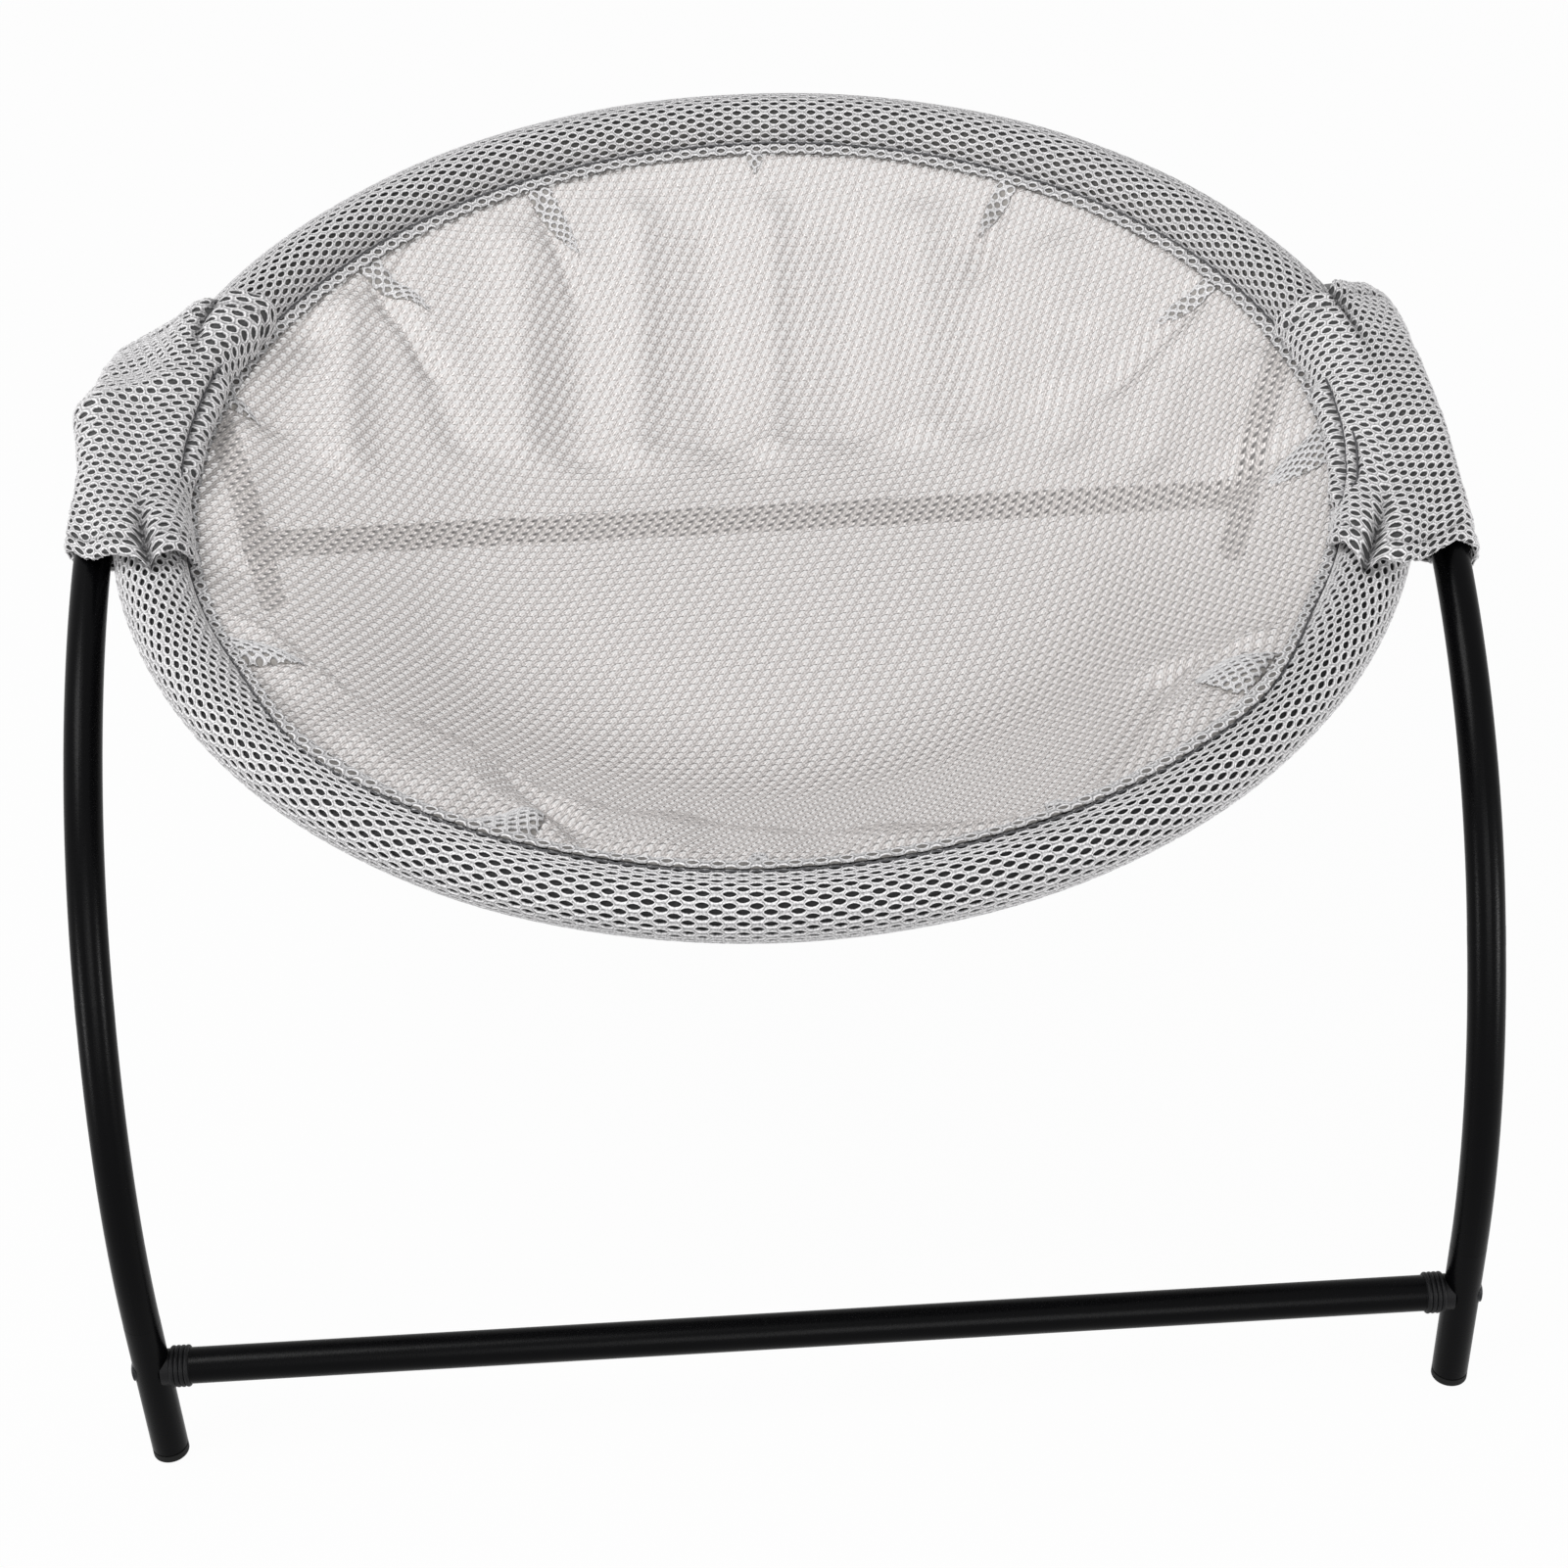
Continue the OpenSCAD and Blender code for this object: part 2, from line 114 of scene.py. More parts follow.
# Floor: matt light grey paper, which throws soft light up at the object. Seen directly it
# is nearly all white glow, with a trace of the paper and its shadows.
floor_paint, tree = blank_material("white_studio_floor")
matt = node(tree, "BsdfDiffuse", {"Color": srgb("#b4b4b4")})
glow = node(tree, "Emission", {"Color": (1, 1, 1, 1), "Strength": 1.0})
share = node(tree, "Math", {0: seen_directly(tree), 1: 0.97}, operation="MULTIPLY")
mix = node(tree, "MixShader", {0: share.outputs[0], 1: matt.outputs[0], 2: glow.outputs[0]})
node(tree, "OutputMaterial", {"Surface": mix.outputs[0]})
reach = 4
floor_mesh = bpy.data.meshes.new("studio_floor")
floor_mesh.from_pydata([(-reach, -reach, 0), (reach, -reach, 0), (reach, reach, 0), (-reach, reach, 0)],
                       [], [(0, 1, 2, 3)])
floor = bpy.data.objects.new("studio_floor", floor_mesh)
floor_mesh.materials.append(floor_paint)
bpy.context.scene.collection.objects.link(floor)

# Sky: white where it is seen directly, and dimmer as a light on the object.
sky = bpy.data.worlds.new("white_sky")
sky.use_nodes = True
tree = sky.node_tree
tree.nodes.clear()
brightness = node(tree, "MapRange", {"Value": seen_directly(tree), "To Min": 0.46, "To Max": 1.0})
backdrop = node(tree, "Background", {"Color": (1, 1, 1, 1), "Strength": brightness.outputs[0]})
node(tree, "OutputWorld", {"Surface": backdrop.outputs[0]})
bpy.context.scene.world = sky

# Name, place, point aimed at, width and power of each lamp
for name, place, aim, width, power in (
    ("lamp_above", (-0.7, -0.3, 1.6), (0, 0.05, 0.2), 0.7, 15.5),
    ("lamp_front", (0.2, -1.7, 1.2), (0, 0, 0.2), 0.8, 10.0),
    ("lamp_left", (-1.2, -0.8, 0.35), (0, 0, 0.15), 0.3, 4.5),
    ("lamp_right", (1.2, -0.8, 0.35), (0, 0, 0.15), 0.3, 6.5),
):
    lamp = bpy.data.objects.new(name, bpy.data.lights.new(name, "AREA"))
    lamp.data.size = width
    lamp.data.energy = power
    away = np.array(place) - np.array(aim)
    lamp.location = place
    lamp.rotation_euler = (math.atan2(math.hypot(away[0], away[1]), away[2]), 0,
                           math.atan2(away[1], away[0]) + math.pi / 2)
    bpy.context.scene.collection.objects.link(lamp)

# ------------------------------------------------------------------ stand
# Bent steel tube with a satin black powder coat: two legs to an arch, spliced at the
# crown by a bare pin inside, and a crossbar at the front and the rear.


def finish_nodes(names, material):
    """Gives these CAD nodes the material, in all their slots."""
    for name in names:
        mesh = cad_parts[name].data
        mesh.materials.clear()
        mesh.materials.append(material)


CORNERS = ("front_left", "rear_left", "front_right", "rear_right")

# Powder coat: an even satin black with the faint orange peel of a cured powder, grains
# about 0.5 mm across, which breaks up the long highlight a little.
powder_coat, tree = blank_material("black_powder_coat")
where = node(tree, "TexCoord").outputs["Object"]
grain = node(tree, "TexNoise", {"Vector": where, "Scale": 1900.0, "Detail": 2.0})
rough = node(tree, "MapRange", {"Value": grain.outputs[0], "From Min": 0.3, "From Max": 0.7,
                                "To Min": 0.24, "To Max": 0.34})
peel = node(tree, "Bump", {"Height": grain.outputs[0], "Strength": 0.12, "Distance": 0.0002})
coat = node(tree, "BsdfPrincipled", {"Base Color": srgb("#040405"), "Roughness": rough.outputs[0],
                                     "Specular IOR Level": 0.06, "Normal": peel.outputs[0]})
node(tree, "OutputMaterial", {"Surface": coat.outputs[0]})
finish_nodes([c + "_leg" for c in CORNERS] + ["front_crossbar", "rear_crossbar", "hoop"], powder_coat)


def bright_metal(name, colour, scale, detail, shiny, dull):
    """Bare or plated metal, whose roughness runs from shiny to dull with a fine noise of
    scale grains to the metre."""
    made, tree = blank_material(name)
    where = node(tree, "TexCoord").outputs["Object"]
    grain = node(tree, "TexNoise", {"Vector": where, "Scale": scale, "Detail": detail})
    rough = node(tree, "MapRange", {"Value": grain.outputs[0], "To Min": shiny, "To Max": dull})
    metal = node(tree, "BsdfPrincipled", {"Base Color": srgb(colour), "Metallic": 1.0,
                                          "Roughness": rough.outputs[0]})
    node(tree, "OutputMaterial", {"Surface": metal.outputs[0]})
    return made


# Zinc-plated steel pins, hidden in the tubes: pale grey with a faint, fine grain.
zinc_plate = bright_metal("zinc_plated_steel", "#b4b6b8", 700.0, 3.0, 0.25, 0.5)
finish_nodes(["left_crown_pin", "right_crown_pin", "hoop_pin"], zinc_plate)

# Turned brass inserts in the collars' stems: warm yellow, unevenly bright.
brass = bright_metal("turned_brass", "#c9a95c", 900.0, 2.0, 0.22, 0.4)
finish_nodes([c + "_insert" for c in CORNERS], brass)

# Black-oxide steel screws: dark, a little oily, with a soft sheen.
black_oxide, tree = blank_material("black_oxide_steel")
where = node(tree, "TexCoord").outputs["Object"]
grain = node(tree, "TexNoise", {"Vector": where, "Scale": 1200.0, "Detail": 2.0})
tone = node(tree, "MixRGB", {"Fac": grain.outputs[0], "Color1": srgb("#17181a"), "Color2": srgb("#2a2b2d")})
metal = node(tree, "BsdfPrincipled", {"Base Color": tone.outputs[0], "Metallic": 0.6, "Roughness": 0.38})
node(tree, "OutputMaterial", {"Surface": metal.outputs[0]})
finish_nodes([c + "_screw" for c in CORNERS], black_oxide)


def moulded(name, dark, pale, scale, relief, roughness):
    """Moulded black plastic or rubber: a noise of scale grains to the metre mixes the dark
    and the pale tone and stands up by relief as a share of 0.3 mm."""
    made, tree = blank_material(name)
    where = node(tree, "TexCoord").outputs["Object"]
    grain = node(tree, "TexNoise", {"Vector": where, "Scale": scale, "Detail": 3.0})
    tone = node(tree, "MixRGB", {"Fac": grain.outputs[0], "Color1": srgb(dark), "Color2": srgb(pale)})
    texture = node(tree, "Bump", {"Height": grain.outputs[0], "Strength": relief, "Distance": 0.0003})
    surface = node(tree, "BsdfPrincipled", {"Base Color": tone.outputs[0], "Roughness": roughness,
                                            "Specular IOR Level": 0.15, "Normal": texture.outputs[0]})
    node(tree, "OutputMaterial", {"Surface": surface.outputs[0]})
    return made


# Moulded black nylon collars and rubbery foot caps: a fine spark-eroded texture, about
# 0.3 mm, drawn twice as coarse so that it shows, and a dull sheen.
moulded_nylon = moulded("moulded_black_nylon", "#060607", "#101012", 1600.0, 0.3, 0.5)
finish_nodes([c + "_collar" for c in CORNERS], moulded_nylon)
cap_rubber = moulded("black_cap_rubber", "#070707", "#141414", 1400.0, 0.35, 0.65)
finish_nodes([c + "_foot_cap" for c in CORNERS], cap_rubber)

# ------------------------------------------------------------------ rim
# A tube hoop wrapped in spacer mesh: an outer face knitted as a honeycomb of light grey
# yarn, an inner knit face 1 mm below it, and the black hoop inside. The cells are drawn
# long round the hoop.
low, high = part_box("rim_cover")
rim_r = 1000 * (high.z - low.z) / 2
rim_z = 1000 * (high.z + low.z) / 2
hoop_r = 1000 * (high.y - low.y) / 2 - rim_r
arch_flat = 1000 * high.x
# The seam lies at the inside of the rim's section, this far below level
seam_slope = math.radians(20)
seam_angle = math.pi + seam_slope


def smooth(x):
    """Rises from 0 to 1 as x goes from 0 to 1, level at both ends: 3 x^2 - 2 x^3."""
    x = np.clip(x, 0, 1)
    return x * x * (3 - 2 * x)


def bell(x, width, power=2):
    """1 where x is 0, and less on both sides of it: exp(-(x / width)^power)."""
    return np.exp(-(x / width) ** power)


def lattice(u_low, u_high, v_low, v_high, period, pitch):
    """Centres of the holes of a honeycomb: rows at v = row * pitch, and in each row u =
    (column + half for the odd rows) * period, inside the given ranges."""
    rows = np.arange(math.ceil(v_low / pitch), math.floor(v_high / pitch) + 1)
    columns = np.arange(math.floor(u_low / period), math.ceil(u_high / period) + 1)
    row, column = np.meshgrid(rows, columns, indexing="ij")
    u, v = (column + (row % 2) / 2) * period, row * pitch
    inside = (u >= u_low) & (u < u_high)
    return u[inside].astype(float), v[inside].astype(float)


def honeycomb(u, v, period, pitch, half_u, half_v, lift=0.35, depth=0.45, crest=0.24, every=1):
    """Knitted cells round the hole centres u, v. Each is three rings of twelve points, or
    of every second one: the hexagon halfway to the six neighbours, at height 0; the crest
    of the yarn round the hole, at height lift; and the edge of the hole, at height -depth.
    The hole is the superellipse |u / half_u| ^ 1.7 + |v / half_v| ^ 1.7 = 1. Returns the
    points' u, v, height and rise, which is 1 on the crest and 0 in the hole and sets the
    yarn's painted light and shade, and the quads, first those outside the crest of each
    cell and then those inside it."""
    wide, narrow = (period ** 2 / 4 + pitch ** 2) / period, (period ** 2 / 4 - pitch ** 2) / period
    middle = (wide + narrow) / 2
    hex_u = np.array([wide, middle, narrow, 0, -narrow, -middle, -wide, -middle, -narrow, 0, narrow, middle])
    hex_u = hex_u[::every]
    hex_v = pitch * np.array([0, 0.5, 1, 1, 1, 0.5, 0, -0.5, -1, -1, -1, -0.5])[::every]
    angle = (np.arange(12) * math.pi / 6)[::every]
    oval_u = np.sign(np.cos(angle)) * np.abs(np.cos(angle)) ** 1.18
    oval_v = np.sign(np.sin(angle)) * np.abs(np.sin(angle)) ** 1.18
    n = len(angle)
    a, b = np.broadcast_to(half_u, u.shape)[:, None], np.broadcast_to(half_v, u.shape)[:, None]
    ring_u = np.stack([np.broadcast_to(hex_u, (len(u), n)), (a + crest) * oval_u, a * oval_u], 1)
    ring_v = np.stack([np.broadcast_to(hex_v, (len(u), n)), (b + crest) * oval_v, b * oval_v], 1)
    height = np.broadcast_to(np.array([0, lift, -depth])[:, None], (len(u), 3, n)).ravel()
    rise_light = np.broadcast_to(np.array([0.4, 1, 0])[:, None], (len(u), 3, n)).ravel()
    k = np.arange(n)
    ring = np.arange(2)[:, None] * n
    quad = np.stack([ring + k, ring + (k + 1) % n, ring + n + (k + 1) % n, ring + n + k], -1).reshape(-1, 4)
    quads = (np.arange(len(u))[:, None, None] * 3 * n + quad).reshape(-1, 4)
    return (u[:, None, None] + ring_u).ravel(), (v[:, None, None] + ring_v).ravel(), height, rise_light, quads


def grid(u, v, height=0.0):
    """A plain grid of the given u and v at one height, in the form of honeycomb."""
    uu, vv = np.meshgrid(u, v, indexing="ij")
    n = len(v)
    corner = (np.arange(len(u) - 1)[:, None] * n + np.arange(n - 1)).reshape(-1, 1)
    quads = corner + np.array([0, n, n + 1, 1])
    return uu.ravel(), vv.ravel(), np.full(uu.size, height), np.zeros(uu.size), quads


def turned(knit, angle):
    """The knit turned by an angle in its own plane."""
    u, v, *rest = knit
    c, s = math.cos(angle), math.sin(angle)
    return (u * c - v * s, u * s + v * c, *rest)


def cloth(name, knit, place, material, keep=None, flipped=False):
    """Makes a mesh of knit, which is the points' u, v, height and rise and the quads.
    place turns u, v and height into X, Y and Z in millimetres, and keep says from a quad's
    middle u and v whether it stays. Points that fall on one place are joined, so rings and
    tubes close. The UV map Cloth holds u and v in metres."""
    u, v, h, rise_light, quads = knit
    if keep is not None:
        quads = quads[keep(u[quads].mean(1), v[quads].mean(1))]
    if flipped:
        quads = quads[:, ::-1]
    used, corners = np.unique(quads, return_inverse=True)
    points = place(u[used], v[used], h[used])
    # A place is one whole number: 21 bits each for X, Y and Z in thousandths of a millimetre
    off_ties, bits = 0.37, 21
    x, y, z = np.round(points * 1000 + off_ties).astype(np.int64).T + 2 ** (bits - 1)
    spots = (x << 2 * bits) + (y << bits) + z
    first, joined = np.unique(spots, return_index=True, return_inverse=True)[1:]
    faces = joined.ravel()[corners.ravel()].reshape(quads.shape)
    mesh = bpy.data.meshes.new(name)
    mesh.vertices.add(len(first))
    mesh.vertices.foreach_set("co", (points[first] / 1000).ravel())
    mesh.loops.add(faces.size)
    mesh.loops.foreach_set("vertex_index", faces.ravel().astype(np.int32))
    mesh.polygons.add(len(faces))
    mesh.polygons.foreach_set("loop_start", np.arange(0, faces.size, 4, dtype=np.int32))
    mesh.polygons.foreach_set("loop_total", np.full(len(faces), 4, dtype=np.int32))
    mesh.polygons.foreach_set("use_smooth", np.ones(len(faces), dtype=bool))
    cloth_map = mesh.uv_layers.new(name="Cloth")
    cloth_map.uv.foreach_set("vector", (np.stack([u[quads], v[quads]], -1) / 1000).ravel())
    mesh.attributes.new("RiseLight", "FLOAT", "POINT").data.foreach_set("value", rise_light[used][first])
    mesh.update()
    mesh.validate()
    mesh.materials.append(material)
    made = bpy.data.objects.new(name, mesh)
    bpy.context.scene.collection.objects.link(made)
    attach(made, "hammock")
    return made


def waver(around, across):
    """Slow unevenness of hand-sewn fabric, within 1: a sum of three sines of the angle
    round the hoop and of the angle or share across the cloth."""
    slow, middling = np.sin(3 * around + 1.1 + across), np.sin(7 * around + 2.3 - 2 * across)
    quick = np.sin(17 * around + across * 3)
    return (slow + 0.7 * middling + 0.5 * quick) / 2.2


def on_rim(radius):
    """Places cloth on the rim's tube: u runs round the hoop and v round the section, from
    the seam under the rim and over the outside to the seam again. radius is where height
    0 lies. The cells crowd towards the top of the near side, where the cloth is pulled
    round the hoop: the section's angle falls by a bell of 0.35 round crowded_at. Against
    the arches the rim is pressed flat."""
    crowded_at, crowd_width = 2.13, 0.66

    def place(u, v, h):
        around = u / hoop_r
        section = seam_angle - 2 * math.pi + v / rim_r
        near = smooth((-np.sin(around) - 0.2) / 0.6)
        section = section - 0.35 * near * bell(section - crowded_at, crowd_width)
        r = radius + h + 0.25 * waver(around, section)
        out = hoop_r + r * np.cos(section)
        x = np.clip(out * np.cos(around), -arch_flat, arch_flat)
        return np.stack([x, out * np.sin(around), rim_z + r * np.sin(section)], 1)
    return place


# Polyester yarn of the honeycomb face: light grey loops with a slight sheen, with fibres
# drawn about 0.7 mm across so that they show. Light and shade are painted into its colour
# by the rise of each point: a painted highlight, brightest on the crest round a hole where
# the yarn crosses over; grey between the holes; and painted shade, nearly black, down in
# each hole. On the sleeves the rise also carries their painted light and shade.
mesh_yarn, tree = blank_material("grey_polyester_yarn")
cloth_uv = node(tree, "UVMap", uv_map="Cloth").outputs[0]
rise_light = node(tree, "Attribute", attribute_name="RiseLight").outputs["Fac"]
fibre = node(tree, "TexNoise", {"Vector": cloth_uv, "Scale": 1500.0, "Detail": 2.0})
worn = node(tree, "MapRange", {"Value": fibre.outputs[0], "From Min": 0.3, "From Max": 0.7,
                               "To Min": -0.22, "To Max": 0.22})
height = node(tree, "Math", {0: rise_light, 1: worn.outputs[0]}, operation="ADD")
tones = node(tree, "ValToRGB", {"Fac": height.outputs[0]})
in_hole, on_crest = tones.color_ramp.elements
in_hole.position, in_hole.color = 0.08, srgb("#323233")
on_crest.position, on_crest.color = 1.0, srgb("#eeedee")
between = tones.color_ramp.elements.new(0.4)
between.color = srgb("#888788")
twist = node(tree, "Bump", {"Height": fibre.outputs[0], "Strength": 0.5, "Distance": 0.0003})
yarn = node(tree, "BsdfPrincipled", {"Base Color": tones.outputs[0], "Roughness": 0.65,
                                     "Specular IOR Level": 0.3, "Normal": twist.outputs[0]})
node(tree, "OutputMaterial", {"Surface": yarn.outputs[0]})

# Lining seen through the holes: the inner knit face over the black hoop, in painted shade,
# nearly black outside and grey beside the seam, where several layers meet.
rim_inside, tree = blank_material("rim_inner_knit_painted_shade")
cloth_uv = node(tree, "UVMap", uv_map="Cloth").outputs[0]
across = node(tree, "SeparateXYZ", {"Vector": cloth_uv}).outputs["Y"]
toward_seam = node(tree, "MapRange", {"Value": across, "From Min": 0.05, "From Max": 0.07})
hatch = node(tree, "TexNoise", {"Vector": cloth_uv, "Scale": 1100.0, "Detail": 2.0})
dark = node(tree, "MixRGB", {"Fac": hatch.outputs[0], "Color1": srgb("#1a1a1b"), "Color2": srgb("#464647")})
pale = node(tree, "MixRGB", {"Fac": hatch.outputs[0], "Color1": srgb("#474645"), "Color2": srgb("#84827f")})
tone = node(tree, "MixRGB", {"Fac": toward_seam.outputs[0], "Color1": dark.outputs[0], "Color2": pale.outputs[0]})
knit = node(tree, "BsdfPrincipled", {"Base Color": tone.outputs[0], "Roughness": 0.85,
                                     "Specular IOR Level": 0.2})
node(tree, "OutputMaterial", {"Surface": knit.outputs[0]})

hoop_length = 2 * math.pi * hoop_r
rim_girth = 2 * math.pi * rim_r
cells_round, rows_across = 174, 39
rim_period, rim_pitch = hoop_length / cells_round, rim_girth / rows_across
# One turn of the hoop, short of its end so that no hole is made twice
one_turn = hoop_length - 0.01
u, v = lattice(0, one_turn, 0, rim_girth, rim_period, rim_pitch)
outward = np.cos(seam_angle + v / rim_r)
uneven = waver(u / hoop_r * 5, v)
hole_u, hole_v = 1.82 + 0.06 * outward + 0.1 * uneven, 0.86 - 0.05 * outward - 0.05 * uneven
face_down, lining_down, seam_gap = 0.35, 1.4, 0.9
rim_mesh = cloth("rim_mesh", honeycomb(u, v, rim_period, rim_pitch, hole_u, hole_v),
                 on_rim(rim_r - face_down), mesh_yarn,
                 lambda u, v: (v > seam_gap) & (v < rim_girth - seam_gap))
rim_lining = cloth("rim_lining",
                   grid(np.linspace(0, hoop_length, 361), np.linspace(0.3, rim_girth - 0.3, 49)),
                   on_rim(rim_r - lining_down), rim_inside)
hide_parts("rim_cover")

# ------------------------------------------------------------------ seam edge
# The rim fabric's raw edges, turned inwards and sewn flat on the bowl: one row of holes,
# and a second one cut through at the ragged edge. A dark thread runs along the joint, and
# its dark line also paints the shadow in the fold there.
edge_start, edge_low = rim_r + 0.3, 1.9
edge_pitch = 2.2


def pulled_up(around):
    """How far the near side's cloth is pulled up over the rim, by the angle round the
    hoop: 0 at the sides and the rear, and 1 round the middle of the near side."""
    return smooth((-np.sin(around) - 0.35) / 0.4)


def on_seam(along, above):
    """Places cloth at the seam: u runs round the hoop, v inwards down the slope from the
    distance along, and height 0 lies above the bowl's middle by above. On the near side
    the cloth is pulled up over the rim, and lies on its shoulder from 99 degrees round
    the section; in between, distance and angle from the hoop's middle pass over evenly."""
    shoulder, lies_off = math.radians(99), 0.9

    def place(u, v, h):
        around = u / hoop_r
        s, n = along + v, above + h + 0.25 * waver(around * 3, v / 3)
        near = pulled_up(around)
        far_off = (1 - near) * np.hypot(s, n) + near * (rim_r + n - above + lies_off)
        section = (1 - near) * (seam_angle - np.arctan2(n, s)) + near * (shoulder + v / rim_r)
        out = hoop_r + far_off * np.cos(section)
        return np.stack([out * np.cos(around), out * np.sin(around), rim_z + far_off * np.sin(section)], 1)
    return place


def inner_knit(name, dark, pale):
    """Fine inner knit face of the mesh, seen through its holes: a noise with specks about
    1 mm across mixes a dark and a pale grey, and the cloth has hardly any sheen. The greys
    it is given are darker than the yarn's own: painted shade."""
    made, tree = blank_material(name)
    cloth_uv = node(tree, "UVMap", uv_map="Cloth").outputs[0]
    speckle = node(tree, "TexNoise", {"Vector": cloth_uv, "Scale": 900.0, "Detail": 3.0})
    tone = node(tree, "MixRGB", {"Fac": speckle.outputs[0], "Color1": srgb(dark), "Color2": srgb(pale)})
    knit = node(tree, "BsdfPrincipled", {"Base Color": tone.outputs[0], "Roughness": 0.85,
                                         "Specular IOR Level": 0.2})
    node(tree, "OutputMaterial", {"Surface": knit.outputs[0]})
    return made


# Inner knit face of the turned edge: painted shade, mid grey for the shade of its own holes.
edge_inside = inner_knit("edge_inner_knit_painted_shade", "#474544", "#8e8b88")

# Sewing thread: dark grey polyester, slightly glossy.
sewing_thread, tree = blank_material("dark_grey_polyester_thread")
cloth_uv = node(tree, "UVMap", uv_map="Cloth").outputs[0]
ply = node(tree, "TexNoise", {"Vector": cloth_uv, "Scale": 2500.0, "Detail": 2.0})
tone = node(tree, "MixRGB", {"Fac": ply.outputs[0], "Color1": srgb("#2c2c2e"), "Color2": srgb("#58585b")})
strand = node(tree, "BsdfPrincipled", {"Base Color": tone.outputs[0], "Roughness": 0.5})
node(tree, "OutputMaterial", {"Surface": strand.outputs[0]})


def ragged(u):
    """Width of the turned edge: 4.4 mm, cut unevenly by up to 0.5 mm."""
    return 4.4 + 0.5 * waver(u / hoop_r * 9, 0.0)


u, v = lattice(0, one_turn, -1, 9, rim_period, edge_pitch)
seam_fabric = cloth("seam_edge_mesh", honeycomb(u, v - 0.1, rim_period, edge_pitch, 1.65, 1.05, depth=0.5),
                    on_seam(edge_start, edge_low + 0.5), mesh_yarn, lambda u, v: (v > 0.2) & (v < ragged(u)))
seam_under = cloth("seam_edge_lining", grid(np.linspace(0, hoop_length, 361), np.linspace(0, 1, 5)),
                   lambda u, v, h: on_seam(edge_start, edge_low - 0.2)(u, v * (ragged(u) - 0.3), h),
                   edge_inside)


def thread(name, line, radius):
    """Sewing thread along a line of points, as an eight-sided tube: each point moves out by
    the radius at eight angles between two directions square to the line. It closes up if
    the line ends where it starts, and otherwise tapers to nothing at both ends."""
    closed = np.allclose(line[0], line[-1])
    ahead = np.gradient(line, axis=0)
    if closed:
        ahead[0] = ahead[-1] = line[1] - line[-2]
    ahead /= np.linalg.norm(ahead, axis=1)[:, None]
    one = np.cross(ahead, (0, 0, 1))
    one /= np.linalg.norm(one, axis=1)[:, None]
    two = np.cross(one, ahead)
    length = np.concatenate([[0], np.cumsum(np.linalg.norm(np.diff(line, axis=0), axis=1))])
    size = np.full(len(line), radius)
    if not closed:
        size[[0, -1]] = 0.01
    paths = (line, one * size[:, None], two * size[:, None])

    def place(u, v, h):
        point, a, b = (np.stack([np.interp(u, length, path[:, i]) for i in range(3)], 1) for path in paths)
        return point + np.cos(v)[:, None] * a + np.sin(v)[:, None] * b
    return cloth(name, grid(length, np.linspace(0, 2 * math.pi, 9)), place, sewing_thread)


def joint(u):
    """The thread's line round the hoop, where the turned edge meets the rim. It dips into
    the cloth between its stitches, 400 of them round the hoop, and is pulled in deeper on
    the near side."""
    deep = 1.05 * pulled_up(u / hoop_r)
    return on_seam(edge_start - 0.2, edge_low + 0.9)(u, 0 * u, -deep - 0.25 * np.cos(400 * u / hoop_r))


# The thread is also a painted shadow: its dark line stands for the shade in the fold of the joint.
seam_thread_and_painted_shadow = thread("seam_thread_and_painted_shadow", joint(np.linspace(0, hoop_length, 3200)), radius=0.3)
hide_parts("seam_edge")

# ------------------------------------------------------------------ bowl
# One round of spacer mesh pushed into a shallow dish, its fine knit face up and its
# honeycomb face down. Twelve darts at the rim take in the spare cloth, and soft folds
# run from them down the wall. Light and dark show through the knit over the holes.
low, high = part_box("bowl")
half_thick = 1.2
floor_z = 1000 * low.z + half_thick
wall_slope, corner_r = math.radians(30), 110.0
# How far from the middle of the hoop's tube the wall takes on the seam's slope, and ends
turn_off, end_off = rim_r + 6, rim_r - 2
slope_top = hoop_r - turn_off * math.cos(seam_slope)
slope_top_z = rim_z - turn_off * math.sin(seam_slope)
floor_r = slope_top - (slope_top_z - floor_z) / math.tan(wall_slope) - corner_r * math.tan(wall_slope / 2)
bend = np.linspace(0, wall_slope, 24)
bend_r, bend_z = floor_r + corner_r * np.sin(bend), floor_z + corner_r * (1 - np.cos(bend))
section_r = np.concatenate([[0], bend_r, [slope_top, hoop_r - end_off * math.cos(seam_slope)]])
section_z = np.concatenate([[floor_z], bend_z, [slope_top_z, rim_z - end_off * math.sin(seam_slope)]])
section_s = np.concatenate([[0], np.cumsum(np.hypot(np.diff(section_r), np.diff(section_z)))])
bowl_reach = section_s[-1]

